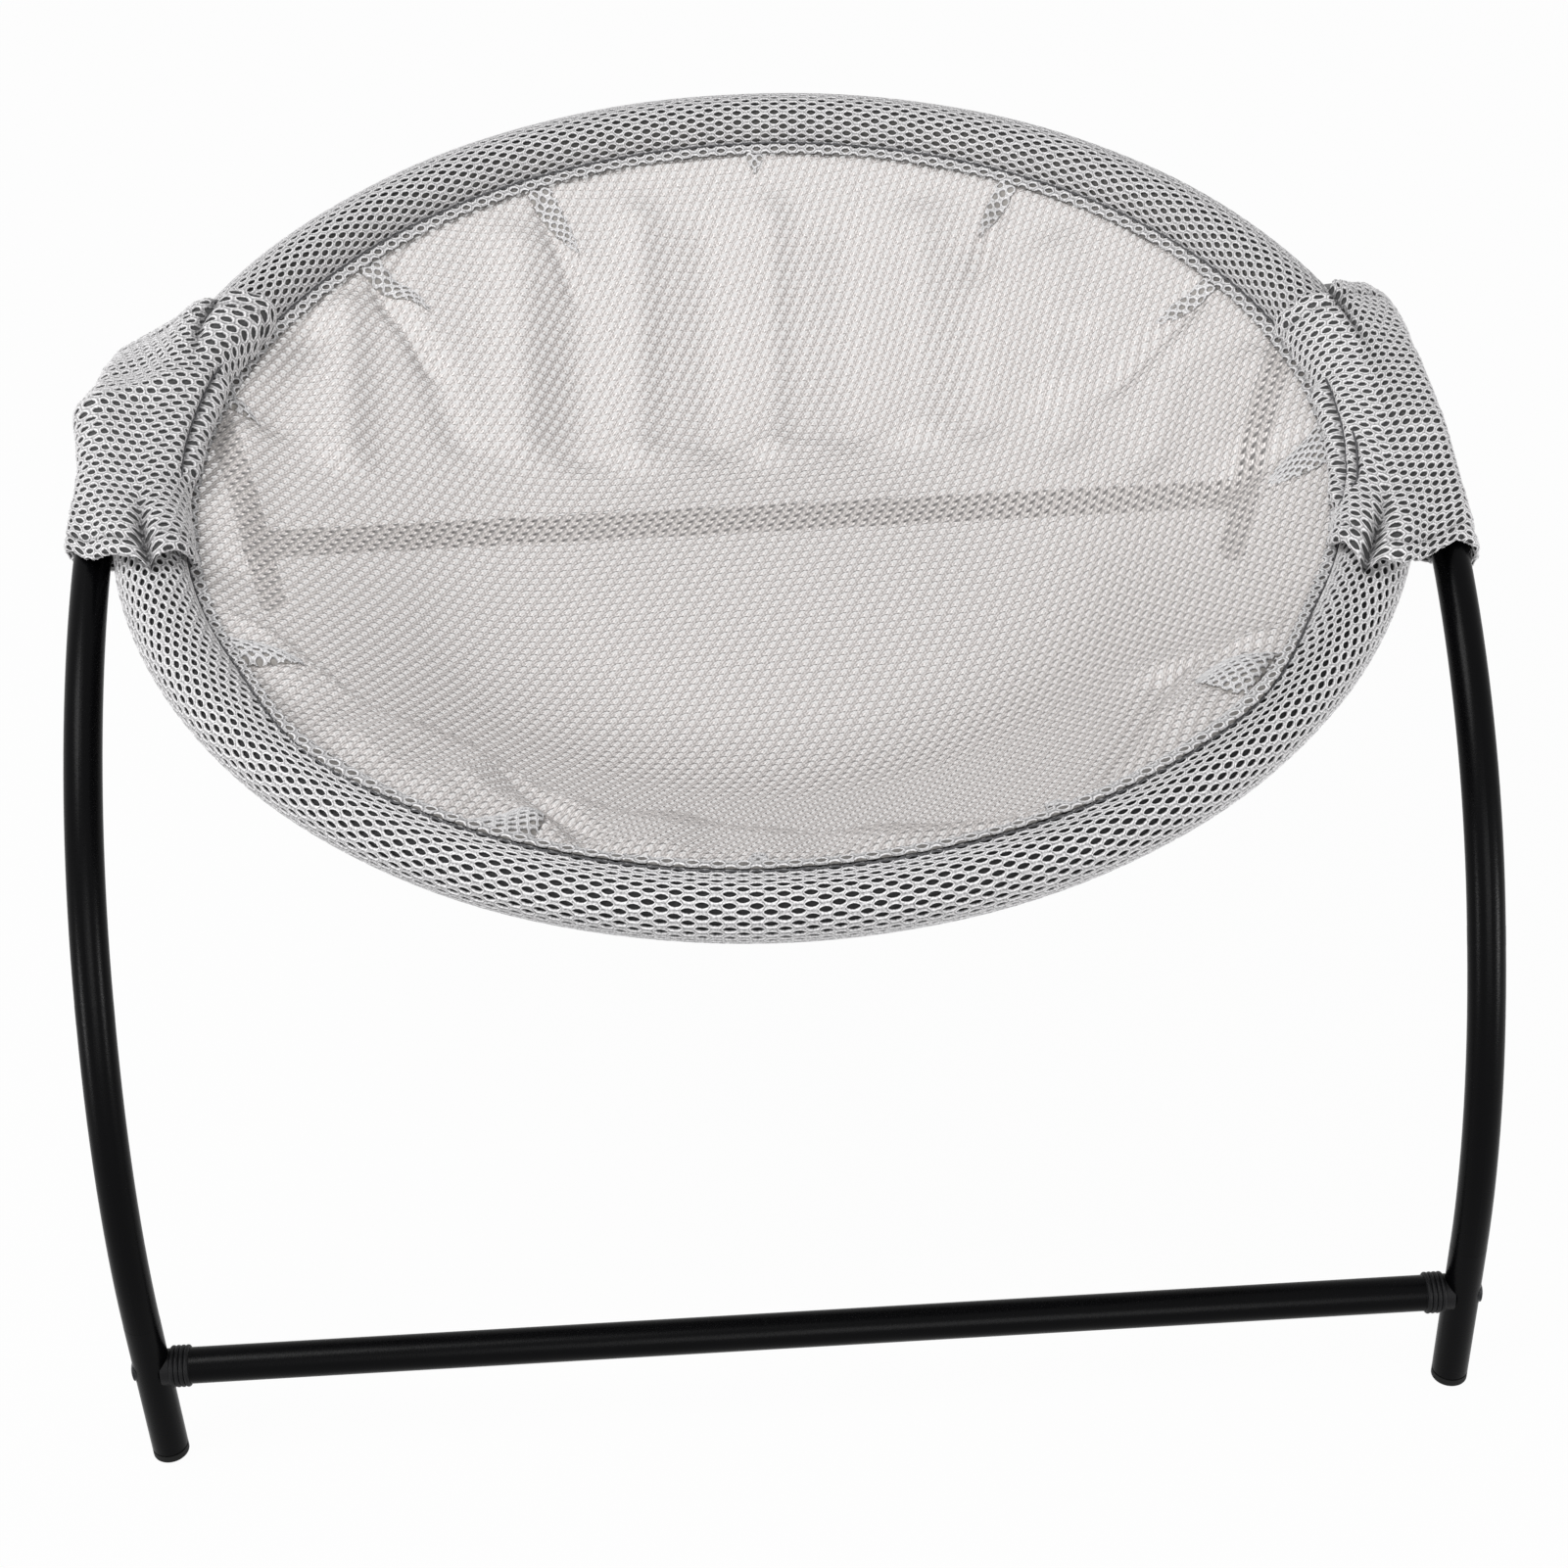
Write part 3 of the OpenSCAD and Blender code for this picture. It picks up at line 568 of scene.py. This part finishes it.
# Folds of the wall: X and Y of both ends, half width, and height (below 0 is a valley)
FOLDS = (
    (-157, 92, -167, 50, 7, -3.7), (-147, 108, -146, 45, 8, 4.8), (-141, 128, -118, 98, 4, -4.2),
    (-126, 138, -131, 118, 4, -3.0), (-118, 98, -108, 70, 7, -2.8), (-84, 150, -86, 75, 9, 4.4),
    (-77, 170, -66, 142, 4, -4.2), (-63, 135, -64, 75, 9, -3.4), (-40, 165, -44, 76, 8, 4.4),
    (-14, 160, -16, 80, 10, -3.4), (10, 166, 5, 76, 7, 4.4), (38, 155, 34, 80, 11, -3.4),
    (66, 155, 60, 78, 10, 4.4), (98, 154, 88, 136, 4, -3.6), (88, 136, 82, 75, 9, -3.2),
    (114, 128, 109, 80, 10, 3.2), (164, 90, 132, 68, 5, -3.8), (119, 90, 112, 55, 8, -2.5),
    (150, 64, 138, 30, 8, -2.5), (176, 48, 168, 15, 10, 3.0), (-177, 35, -176, -22, 8, 3.0),
    (-62, 77, 42, 75, 3, 0.6), (186, 4, 160, -4, 6, -2.4), (150, -95, 118, -88, 9, 2.0),
    (-72, -140, -58, -173, 4, -2.6), (-89, -118, -60, -158, 4, -2.2), (-83, -142, -68, -173, 5, 2.0),
    (-97, -132, -81, -155, 5, 2.0), (97, -151, 122, -94, 5, -2.4), (122, -94, 147, -99, 5, -2.4),
)
# Ledge of the near wall, where the spare cloth lies over under the rim: by the angle
# round the rim in degrees, the radius at which it begins
LEDGE = np.array([
    (-165, 190), (-157, 168), (-146, 158), (-133, 140), (-116, 144), (-99, 144), (-85, 153),
    (-70, 176), (-60, 180), (-48, 164), (-37, 156), (-30, 178), (-22, 190),
])
no_ledge = 195


def folds(r, around):
    """How far the cloth stands in from the plain dish at radius r and the angle round the
    rim, as a sum. A wave of 0.9 mm, twice round, grows up to 90 mm from the middle and fades
    out from 150 to 180. A fold is a bell across its line, height * exp(-(aside / width)^2),
    that fades over 14 mm at its ends. The ledge, an uneven 3 mm, rises over 6 mm and sinks
    back from 174 to 187 mm. From 182 to 188 mm the whole is pressed down to 0.3 of it."""
    x, y = r * np.cos(around), r * np.sin(around)
    out = 0.9 * np.sin(2 * around + 0.6) * smooth(r / 90) * (1 - smooth((r - 150) / 30))
    for x0, y0, x1, y1, width, height in FOLDS:
        length = math.hypot(x1 - x0, y1 - y0)
        along = ((x - x0) * (x1 - x0) + (y - y0) * (y1 - y0)) / length
        aside = ((x - x0) * (y1 - y0) - (y - y0) * (x1 - x0)) / length
        ridge = height * bell(aside, width) * smooth((along + 12) / 14)
        out = out + ridge * (1 - smooth((along - length) / 14))
    start = np.interp(np.degrees(around), LEDGE[:, 0], LEDGE[:, 1], left=no_ledge, right=no_ledge)
    puff = 3.0 + 1.0 * np.sin(around * 13) + 0.8 * np.sin(around * 31 + 1)
    out = out + puff * smooth((r - start + 1) / 6) * (1 - smooth((r - 174) / 13))
    return out * (1 - 0.7 * smooth((r - 182) / 6))


def on_bowl(above):
    """Places cloth on the dish: u and v are its flat X and Y. The distance from the middle
    runs along the dish's section, and height 0 lies above its middle by above."""
    def place(u, v, h):
        s, around = np.hypot(u, v), np.arctan2(v, u)
        r, z = np.interp(s, section_s, section_r), np.interp(s, section_s, section_z)
        tilt = np.interp(s, section_s, np.gradient(section_z, section_s))
        run = np.sqrt(1 - np.clip(tilt, -0.99, 0.99) ** 2)
        n = above + h + folds(r, around)
        return np.stack([(r - n * tilt) * np.cos(around), (r - n * tilt) * np.sin(around), z + n * run], 1)
    return place


# Knit face: warm light grey, knitted in step with the honeycomb behind it. Over each hole
# it is thin enough to let the bright floor or the dark stand show through, and thinner
# knit is also greyer; fine strands run between the holes. Each wave of the pattern is how
# often it repeats in one cell in two directions, its share and its start in degrees.
THIN = ((1, 0, 1.0, 0), (0, 1, 0.6, 0), (1, 1, 0.6, -75), (1, -1, 0.4, -60), (2, 0, 0.35, 180))
STRANDS = ((1, 0, 1.35, 0), (1, 1, 0.3, -106), (0, 1, 0.3, -33), (3, 1, 0.8, 131), (4, 0, 0.8, -60),
           (3, -2, 0.8, 0))
cell, grain_turn = 3.98, math.radians(35)
knit_face, tree = blank_material("grey_fine_knit")
cloth_uv = node(tree, "UVMap", uv_map="Cloth").outputs[0]


def waves(tree, table):
    """Adds up the waves of a table, each a cosine along its own direction of the cloth:
    share * cos(radians to the metre * distance + start)."""
    directions = (grain_turn + math.radians(120), grain_turn + math.radians(60))
    across, along = ((math.cos(a), math.sin(a)) for a in directions)
    per_metre = 2000 * math.pi / (cell * math.sin(math.pi / 3))
    total = 0.0
    for m, n, part, start in table:
        k = [per_metre * (m * across[i] + n * along[i]) for i in (0, 1)]
        line = node(tree, "VectorMath", {0: cloth_uv, 1: (*k, 0)}, operation="DOT_PRODUCT")
        begun = node(tree, "Math", {0: line.outputs["Value"], 1: math.radians(start)}, operation="ADD")
        wave = node(tree, "Math", {0: begun.outputs[0]}, operation="COSINE")
        added = node(tree, "Math", {0: wave.outputs[0], 1: part, 2: total}, operation="MULTIPLY_ADD")
        total = added.outputs[0]
    return total


thin, strands = waves(tree, THIN), waves(tree, STRANDS)
fibre = node(tree, "TexNoise", {"Vector": cloth_uv, "Scale": 1300.0, "Detail": 2.0})
uneven = node(tree, "MapRange", {"Value": fibre.outputs[0], "From Min": 0.3, "From Max": 0.7,
                                 "To Min": -1.6, "To Max": 1.6})
mixed = node(tree, "Math", {0: strands, 1: uneven.outputs[0]}, operation="ADD")
stitch = node(tree, "MapRange", {"Value": mixed.outputs[0], "From Min": -2.4, "From Max": 2.4})
thick = node(tree, "MixRGB", {"Fac": stitch.outputs[0], "Color1": srgb("#aaa5a3"), "Color2": srgb("#f8f3f1")})
thinness = node(tree, "MapRange", {"Value": thin, "From Min": -0.3, "From Max": 1.3},
                interpolation_type="SMOOTHSTEP")
tone = node(tree, "MixRGB", {"Fac": thinness.outputs[0], "Color1": thick.outputs[0],
                             "Color2": srgb("#cacaca")}, blend_type="MULTIPLY")
cover = node(tree, "MapRange", {"Value": thinness.outputs[0], "To Min": 1.0, "To Max": 0.4})
loft = node(tree, "Bump", {"Height": stitch.outputs[0], "Strength": 0.5, "Distance": 0.0004})
knit = node(tree, "BsdfPrincipled", {"Base Color": tone.outputs[0], "Roughness": 0.55,
                                     "Specular IOR Level": 0.4, "Alpha": cover.outputs[0],
                                     "Normal": loft.outputs[0]})
node(tree, "OutputMaterial", {"Surface": knit.outputs[0]})

squares = np.arange(-208, 208, 1.6)
bowl_face = cloth("bowl_face", grid(squares, squares), on_bowl(0.5), knit_face,
                  lambda u, v: np.hypot(u, v) < bowl_reach)
mesh_period, mesh_pitch = cell * math.sqrt(3), cell / 2
u, v = lattice(-210, 210, -210, 210, mesh_period, mesh_pitch)
inside = np.hypot(u, v) < bowl_reach + 2
u, v, h, rise_light, quads = honeycomb(u[inside], v[inside], mesh_period, mesh_pitch, 2.0, 1.6,
                                 lift=-0.2, crest=0.1, every=2)
outside_crest = quads.reshape(-1, 2, 6, 4)[:, 0].reshape(-1, 4)
# The honeycomb under the bowl is painted as lit: its rise is at least 0.8, so no painted shade darkens it.
bowl_mesh = cloth("bowl_mesh", turned((u, v, h, np.maximum(rise_light, 0.8), outside_crest), grain_turn),
                  on_bowl(-0.3), mesh_yarn, lambda u, v: np.hypot(u, v) < bowl_reach - 1, flipped=True)

# Darts: where the cloth is lapped over at the rim, its honeycomb face shows in a tuck
# with a rounded tip. Angle from +X in degrees, and length, width and lean of each, and
# how high it puffs up, in millimetres.
DARTS = (
    (-38, 24, 24, -4, 2.5), (-64.8, 14, 9, 1, 0), (-93, 15, 12, -1, 0), (-118, 18, 26, 8, 2.5),
    (-155, 22, 16, 10, 2), (165, 13, 7, 2, 0), (-1.5, 23, 22, -8, 0), (28.4, 25, 8, 5, 0),
    (57.8, 23, 8, 3, 0), (88.2, 8, 7, 0, 0), (114.2, 30, 10, -5, 0), (137.5, 28, 9, -8, 0),
)
tuck_period, tuck_pitch = 4.6, 2.13
# The tucks begin this far from the middle, under the seam edge
tuck_start = bowl_reach - 6


def on_tuck(angle, length, width, lean, stand):
    """Places cloth on a dart's tuck: u runs down the wall from the seam edge, v across. It
    narrows to its tip, rises to 1.4 mm at one side and drops into the crease there, and
    puffs up by stand * sin(pi * share^0.6) * cos(pi * v / width), with share the part of
    its length, so that it is highest a third of the way down."""
    def place(u, v, h):
        share = np.clip(u / length, 0, 1)
        across = v * (1 - 0.7 * share ** 1.5)
        lap = np.interp(v / width, [-0.5, -0.3, 0.35, 0.5], [-0.3, 0.5, 1.4, -0.5])
        high = lap * (1 - share ** 2) - 1.4 * share ** 3
        puff = stand * np.sin(math.pi * share ** 0.6) * np.cos(math.pi * v / width)
        s = tuck_start - u
        around = math.radians(angle) + (across + lean * share) / s
        return on_bowl(1.3)(s * np.cos(around), s * np.sin(around), h + high + puff)
    return place


def tuck_outline(length, width):
    """Says what lies within a tuck: where (2 v / width)^4 + (u / length)^2 is below 1."""
    return lambda u, v: (u > 0) & ((2 * v / width) ** 4 + (u / length) ** 2 < 1)


# Knit face behind the holes of a tuck: the bowl's own grey darkened, painted shade for the tuck's shade.
tuck_inside = inner_knit("tuck_knit_painted_shade", "#787572", "#b2aeaa")

for number, dart in enumerate(DARTS):
    length, width = dart[1:3]
    shape = tuck_outline(length, width)
    across, along = lattice(-width, width, -3, length + 3, tuck_period, tuck_pitch)
    v, u, h, rise_light, quads = honeycomb(across, along, tuck_period, tuck_pitch, 1.25, 1.15)
    # A tuck's holes get lighter painted shade: its rise starts at 0.35.
    lapped = (u, v, h, 0.35 + 0.65 * rise_light, quads)
    behind = grid(np.linspace(0, length, 30), np.linspace(-width / 2, width / 2, 25), -0.7)
    cloth(f"dart_{number + 1}", lapped, on_tuck(*dart), mesh_yarn, shape)
    cloth(f"dart_{number + 1}_inside", behind, on_tuck(*dart), tuck_inside, shape, flipped=True)
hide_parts("bowl")

# ------------------------------------------------------------------ sleeves
# On each side a piece of the same mesh is wrapped round the rim and the crown of the arch
# and sewn to the rim along its inside. It spans from the rim to the arch like a tent, is
# creased along the rim's crest at both ends, and both ends are hemmed.
low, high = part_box("right_crown_pin")
arch_x = 1000 * (low.x + high.x) / 2
# The arch's crown is an arc in the Y-Z plane: its radius to the middle of the tube, and
# the height of its centre, which is also the axis on which the hammock tilts
crown_radius, crown_axis_z = 198.873, 49.155
tube_r = 6.0
# Radii of the cloth's turns round the rim and round the arch
big, small = rim_r + 1.7, tube_r + 1.9
# Radius of the hem's fold, and how much cloth is turned back there
hem_turn, hem_back = 0.9, 6.0
# Half the length along the arch, and v of the cut inner end and of the sewing thread
sleeve_half, inner_end, sewn_at = 60.0, -20.5, -13.1
short_of_seam = math.radians(14)
sleeve_cell = 3.7


def belt(y):
    """The sleeve's section at distance y from the crown, a belt round the rim and the arch:
    X of the rim's middle and Z of the arch's, the cosines by which both turn away from
    the section, the angles at which the belt leaves and meets them, and the lengths v
    along it from the rim's crest to each of its five corners."""
    tilt, rim_turn = np.arcsin(y / crown_radius), np.arcsin(y / hoop_r)
    rim_x, arch_z = hoop_r * np.cos(rim_turn), crown_axis_z + crown_radius * np.cos(tilt)
    dx, dz = arch_x - rim_x, arch_z - rim_z
    gap, facing = np.hypot(dx, dz), np.arctan2(dz, dx)
    spread = np.arccos((big - small) / gap)
    over, under, straight = facing + spread, facing - spread, np.sqrt(gap ** 2 - (big - small) ** 2)
    v1 = big * (math.pi / 2 - over)
    v2 = v1 + straight
    v3 = v2 + small * 2 * spread
    v4 = v3 + straight
    v5 = v4 + big * (under - seam_angle + 2 * math.pi - short_of_seam)
    return (rim_x, arch_z), (np.cos(rim_turn), np.cos(tilt)), (over, under), (v1, v2, v3, v4, v5)


def belt_points(y, v):
    """Points of the right sleeve's belt at y and v: arcs round the rim and the arch and
    the two straights between them."""
    (rim_x, arch_z), (rim_squeeze, arch_squeeze), (over, under), (v1, v2, v3, v4, _) = belt(y)

    def off_rim(a):
        """X and Z at an angle round the rim, which is wider by its slant to the section."""
        return rim_x + big * np.cos(a) / rim_squeeze, rim_z + big * np.sin(a)

    def off_arch(a):
        """X and Z at an angle round the arch, which is taller by its slant."""
        return arch_x + small * np.cos(a), arch_z + small * np.sin(a) / arch_squeeze

    def straight(start, end, share):
        """X and Z at a share of the way from start to end."""
        return [start[i] + share * (end[i] - start[i]) for i in (0, 1)]

    part = [v <= v1, v <= v2, v <= v3, v <= v4]
    crest = off_rim(math.pi / 2 - v / big)
    outwards = straight(off_rim(over), off_arch(over), (v - v1) / (v2 - v1))
    outside = off_arch(over - (v - v2) / small)
    back = straight(off_arch(under), off_rim(under), (v - v3) / (v4 - v3))
    beneath = off_rim(under - (v - v4) / big)
    stretches = (crest, outwards, outside, back)
    return np.stack([np.select(part, [stretch[i] for stretch in stretches], beneath[i]) for i in (0, 1)])


def on_sleeve(side, middle, front, rear, slack, crease, lobes, ridges, seams):
    """Three functions of a sleeve. The first places cloth: u runs along the arch from its
    middle and v round the belt from the rim's crest. The second is painted light and shade,
    a factor on the yarn's rise and so on its colour: about 1 in the open, a little more on
    the right sleeve than the left to paint it lighter, and down to 0.2 in its creases and
    seams as painted shade. The third says at which v the belt ends, by u.
    side is 1 for the right sleeve and -1 for the left. middle is y of its middle. front
    and rear say how much further than the sleeve's half length each end reaches, by v.
    slack is how far the cloth stands off the arch's outside, by y. crease is where the
    rear crease lies across the rim, by the distance from the rear end, and lobes how high
    the cloth stands on both sides of it. ridges are u, v, angle, length, width and height.
    seams are v, and y from and to, of the threads that hold the sleeve to the rim."""
    def base(u, v):
        """The plain belt, with its ends let out or taken in: each end's reach fades in
        with the power 1.5 of the way to it."""
        share = u / sleeve_half
        to_front, to_rear = np.clip(0.5 - share / 2, 0, 1.2) ** 1.5, np.clip(0.5 + share / 2, 0, 1.2) ** 1.5
        y = middle + u - np.interp(v, *front) * to_front + np.interp(v, *rear) * to_rear
        x, z = belt_points(y, v)
        return np.stack([x, y, z], 1)

    def creases(u, v):
        """How near each crease is, from 0 to 1 along it, and the distance across it."""
        at_front = smooth((34 - u - sleeve_half) / 26), v
        at_rear = smooth((36 - sleeve_half + u) / 28), v - np.interp(sleeve_half - u, *crease)
        return at_front, at_rear

    def sewn(u, seam):
        """1 along a seam, falling to 0 within 8 mm at both of its ends."""
        return smooth((middle + u - seam[1]) / 8) * smooth((seam[2] - middle - u) / 8)

    def stand_off(u, v):
        """How far the cloth stands off the belt: 0.9 mm, more by bells where it hangs
        slack, beside the creases, on the ridges and beside the inner seam, and less by
        bells in the creases and seams; the hem is a step with a groove along it."""
        y = middle + u
        (over, _), (_, v2, *_) = belt(np.clip(y, middle - sleeve_half, middle + sleeve_half))[2:]
        shoulder = v2 + small * (over - math.pi / 4)
        out = 0.9 + np.interp(y, *slack) * bell(v - shoulder, 13)
        for (near, aside), (inner, outer) in zip(creases(u, v), ((4.2, 4.2), lobes)):
            tall = inner + (outer - inner) * smooth(aside / 2 + 0.5)
            out = out + near * tall * (1 - bell(aside, 1.9)) * (1 - 0.8 * smooth((np.abs(aside) - 6) / 13))
        for cu, cv, way, length, width, tall in ridges:
            along = (u - cu) * math.cos(way) + (v - cv) * math.sin(way)
            aside = -(u - cu) * math.sin(way) + (v - cv) * math.cos(way)
            out = out + tall * bell(aside, width) * bell(along, length, 4)
        held = sewn(u, seams[0])
        out = out + held * (1.5 * bell(v - sewn_at, 6, 4) + 2.4 * bell(v - sewn_at + 5, 3))
        for seam in seams:
            out = out - sewn(u, seam) * 2.2 * bell(v - seam[0], 1.1)
        hem = np.abs(u) - sleeve_half + hem_back
        out = out + 0.4 * smooth(hem / 0.8) - 0.6 * bell(hem, 0.9)
        return np.maximum(out + 0.3 * waver(u / 14, v / 9), 0.3)

    def place(u, v, h):
        """Past the half length the cloth turns over in half a circle of hem_turn and runs
        back beneath itself. All of it stands off the base along the base's normal."""
        extra = np.abs(u) - sleeve_half
        angle = np.clip(extra / hem_turn, 0, math.pi)
        turned_over = (hem_turn + h) * np.sin(angle) - np.maximum(extra - math.pi * hem_turn, 0)
        run = np.minimum(sleeve_half, np.abs(u)) + np.where(extra > 0, turned_over, 0)
        height = np.where(extra > 0, (hem_turn + h) * np.cos(angle) - hem_turn, h)
        flat_u = np.sign(u) * run
        step = 0.4
        across = base(flat_u, v + step) - base(flat_u, v - step)
        along = base(flat_u + step, v) - base(flat_u - step, v)
        n = np.cross(across, along)
        n = n / np.maximum(np.linalg.norm(n, axis=1), 1e-9)[:, None]
        p = base(flat_u, v) + n * (height + stand_off(flat_u, v))[:, None]
        p[:, 0] *= side
        return p

    def painted_light(u, v):
        """Painted light and shade: 1.08, raised by 0.05 on the right sleeve and lowered by 0.05
        on the left to paint the right one lighter; less by bells of painted shade along the
        hem, in the creases, in the seams and at the inner end.
        """
        out = 1.08 + 0.05 * side - 0.3 * bell(np.abs(u) - sleeve_half + hem_back, 1.0)
        for near, aside in creases(u, v):
            out = out * (1 - 0.8 * near * bell(aside, 1.5))
        for seam in seams:
            out = out * (1 - 0.6 * sewn(u, seam) * bell(v - seam[0], 0.9))
        return out * (1 - 0.6 * sewn(u, seams[0]) * bell(v - inner_end, 1.6))

    def far_end(u):
        """The last corner of the belt at u, taken no further out than the half length."""
        *_, corners = belt(middle + np.clip(u, -sleeve_half, sleeve_half))
        return corners[-1]
    return place, painted_light, far_end


# Fine knit inside the sleeves, seen through their holes: speckled, and dark grey as painted shade inside the
# sleeve.
sleeve_inside = inner_knit("shaded_fine_knit", "#2b2b2c", "#5e5e5e")

# For each sleeve the turn of its knit in degrees, and its shape
SLEEVES = {
    "left_sleeve": (20, {
        "side": -1,
        "middle": 24.0,
        "front": ([-21, -6, 0, 12, 20, 30, 45, 60, 90], [8, 17, 23, 13, 10, -3, -4, -12, -12]),
        "rear": ([-21, -12, -8, 0, 30], [-5, 1, -1, -2.6, 0]),
        "slack": ([-60, -12, 6, 18, 28, 42, 56, 70, 84], [-0.9, -0.6, 0.5, 3, 4.5, 4, 2.5, 1.5, 1]),
        "crease": ([0, 15, 31, 40, 60], [0, -0.7, -4.7, -11, -13]),
        "lobes": (4.8, 1.6),
        "ridges": ((12, 10, -1.0, 20, 5, 2.6), (27, 20, -1.1, 15, 5, -1.6), (-18, 12, 0.1, 26, 6, 0.9),
                   (60, -14, 0.0, 14, 6, 4.0)),
        "seams": ((sewn_at, 0, 56),),
    }),
    "right_sleeve": (12, {
        "side": 1,
        "middle": -7.0,
        "front": ([-21, -8, 0, 8, 16, 28, 45, 60, 90], [-4.5, 10.7, 24, 20, 13, -2, -4, -14, -14]),
        "rear": ([-15, -9, 0, 8, 30, 90], [0, -2.4, -3, 8, 20, 10]),
        "slack": ([-90, -40, 0, 20, 45, 60], [-0.9, -0.9, -0.9, -0.5, 1.0, 1.5]),
        "crease": ([0, 10, 28, 60], [2.7, 3.2, 3.9, 4]),
        "lobes": (2.4, 1.6),
        "ridges": ((8, 6, -0.4, 24, 6, 1.2), (-22, 16, 0.2, 22, 6, 0.9)),
        "seams": ((sewn_at, -51, 17), (-9.0, -44, -14)),
    }),
}
mesh_period, mesh_pitch = sleeve_cell * math.sqrt(3), sleeve_cell / 2
across, along = lattice(-170, 170, -170, 170, mesh_period, mesh_pitch)
cells = honeycomb(across, along, mesh_period, mesh_pitch, 1.38, 1.08)
for name, (knit_turn, sleeve) in SLEEVES.items():
    place, painted_light, far_end = on_sleeve(**sleeve)
    left = sleeve["side"] < 0
    cloth_half = sleeve_half + hem_back
    v, u, h, rise_light, quads = turned(cells, math.radians(knit_turn))
    # Painted light is worked out only round the sleeve; the cells farther off are cut away
    nearby = (np.abs(u) < 90) & (np.abs(v - 50) < 95)
    rise_light = np.where(nearby, rise_light * painted_light(np.where(nearby, u, 0), v), 0)
    face = cloth(name + "_mesh", (u, v, h, rise_light, quads), place, mesh_yarn,
                 lambda u, v: (np.abs(u) < cloth_half) & (v > inner_end) & (v < far_end(u)), flipped=left)
    a, b, h, rise_light, quads = grid(np.linspace(-cloth_half, cloth_half, 120), np.linspace(0, 1, 120), -0.65)
    lining = cloth(name + "_lining", (a, inner_end + b * (far_end(a) - inner_end), h, rise_light, quads), place,
                   sleeve_inside, flipped=not left)
    for number, (at, start, stop) in enumerate(sleeve["seams"]):
        u = np.arange(start, stop, 1.0) - sleeve["middle"]
        line = place(u, np.full(len(u), at), np.full(len(u), 0.3))
        thread(f"{name}_thread_{number + 1}", line, radius=0.4)
    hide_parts(name)
    float(np.mean(far_end(a) - inner_end)) / 1000
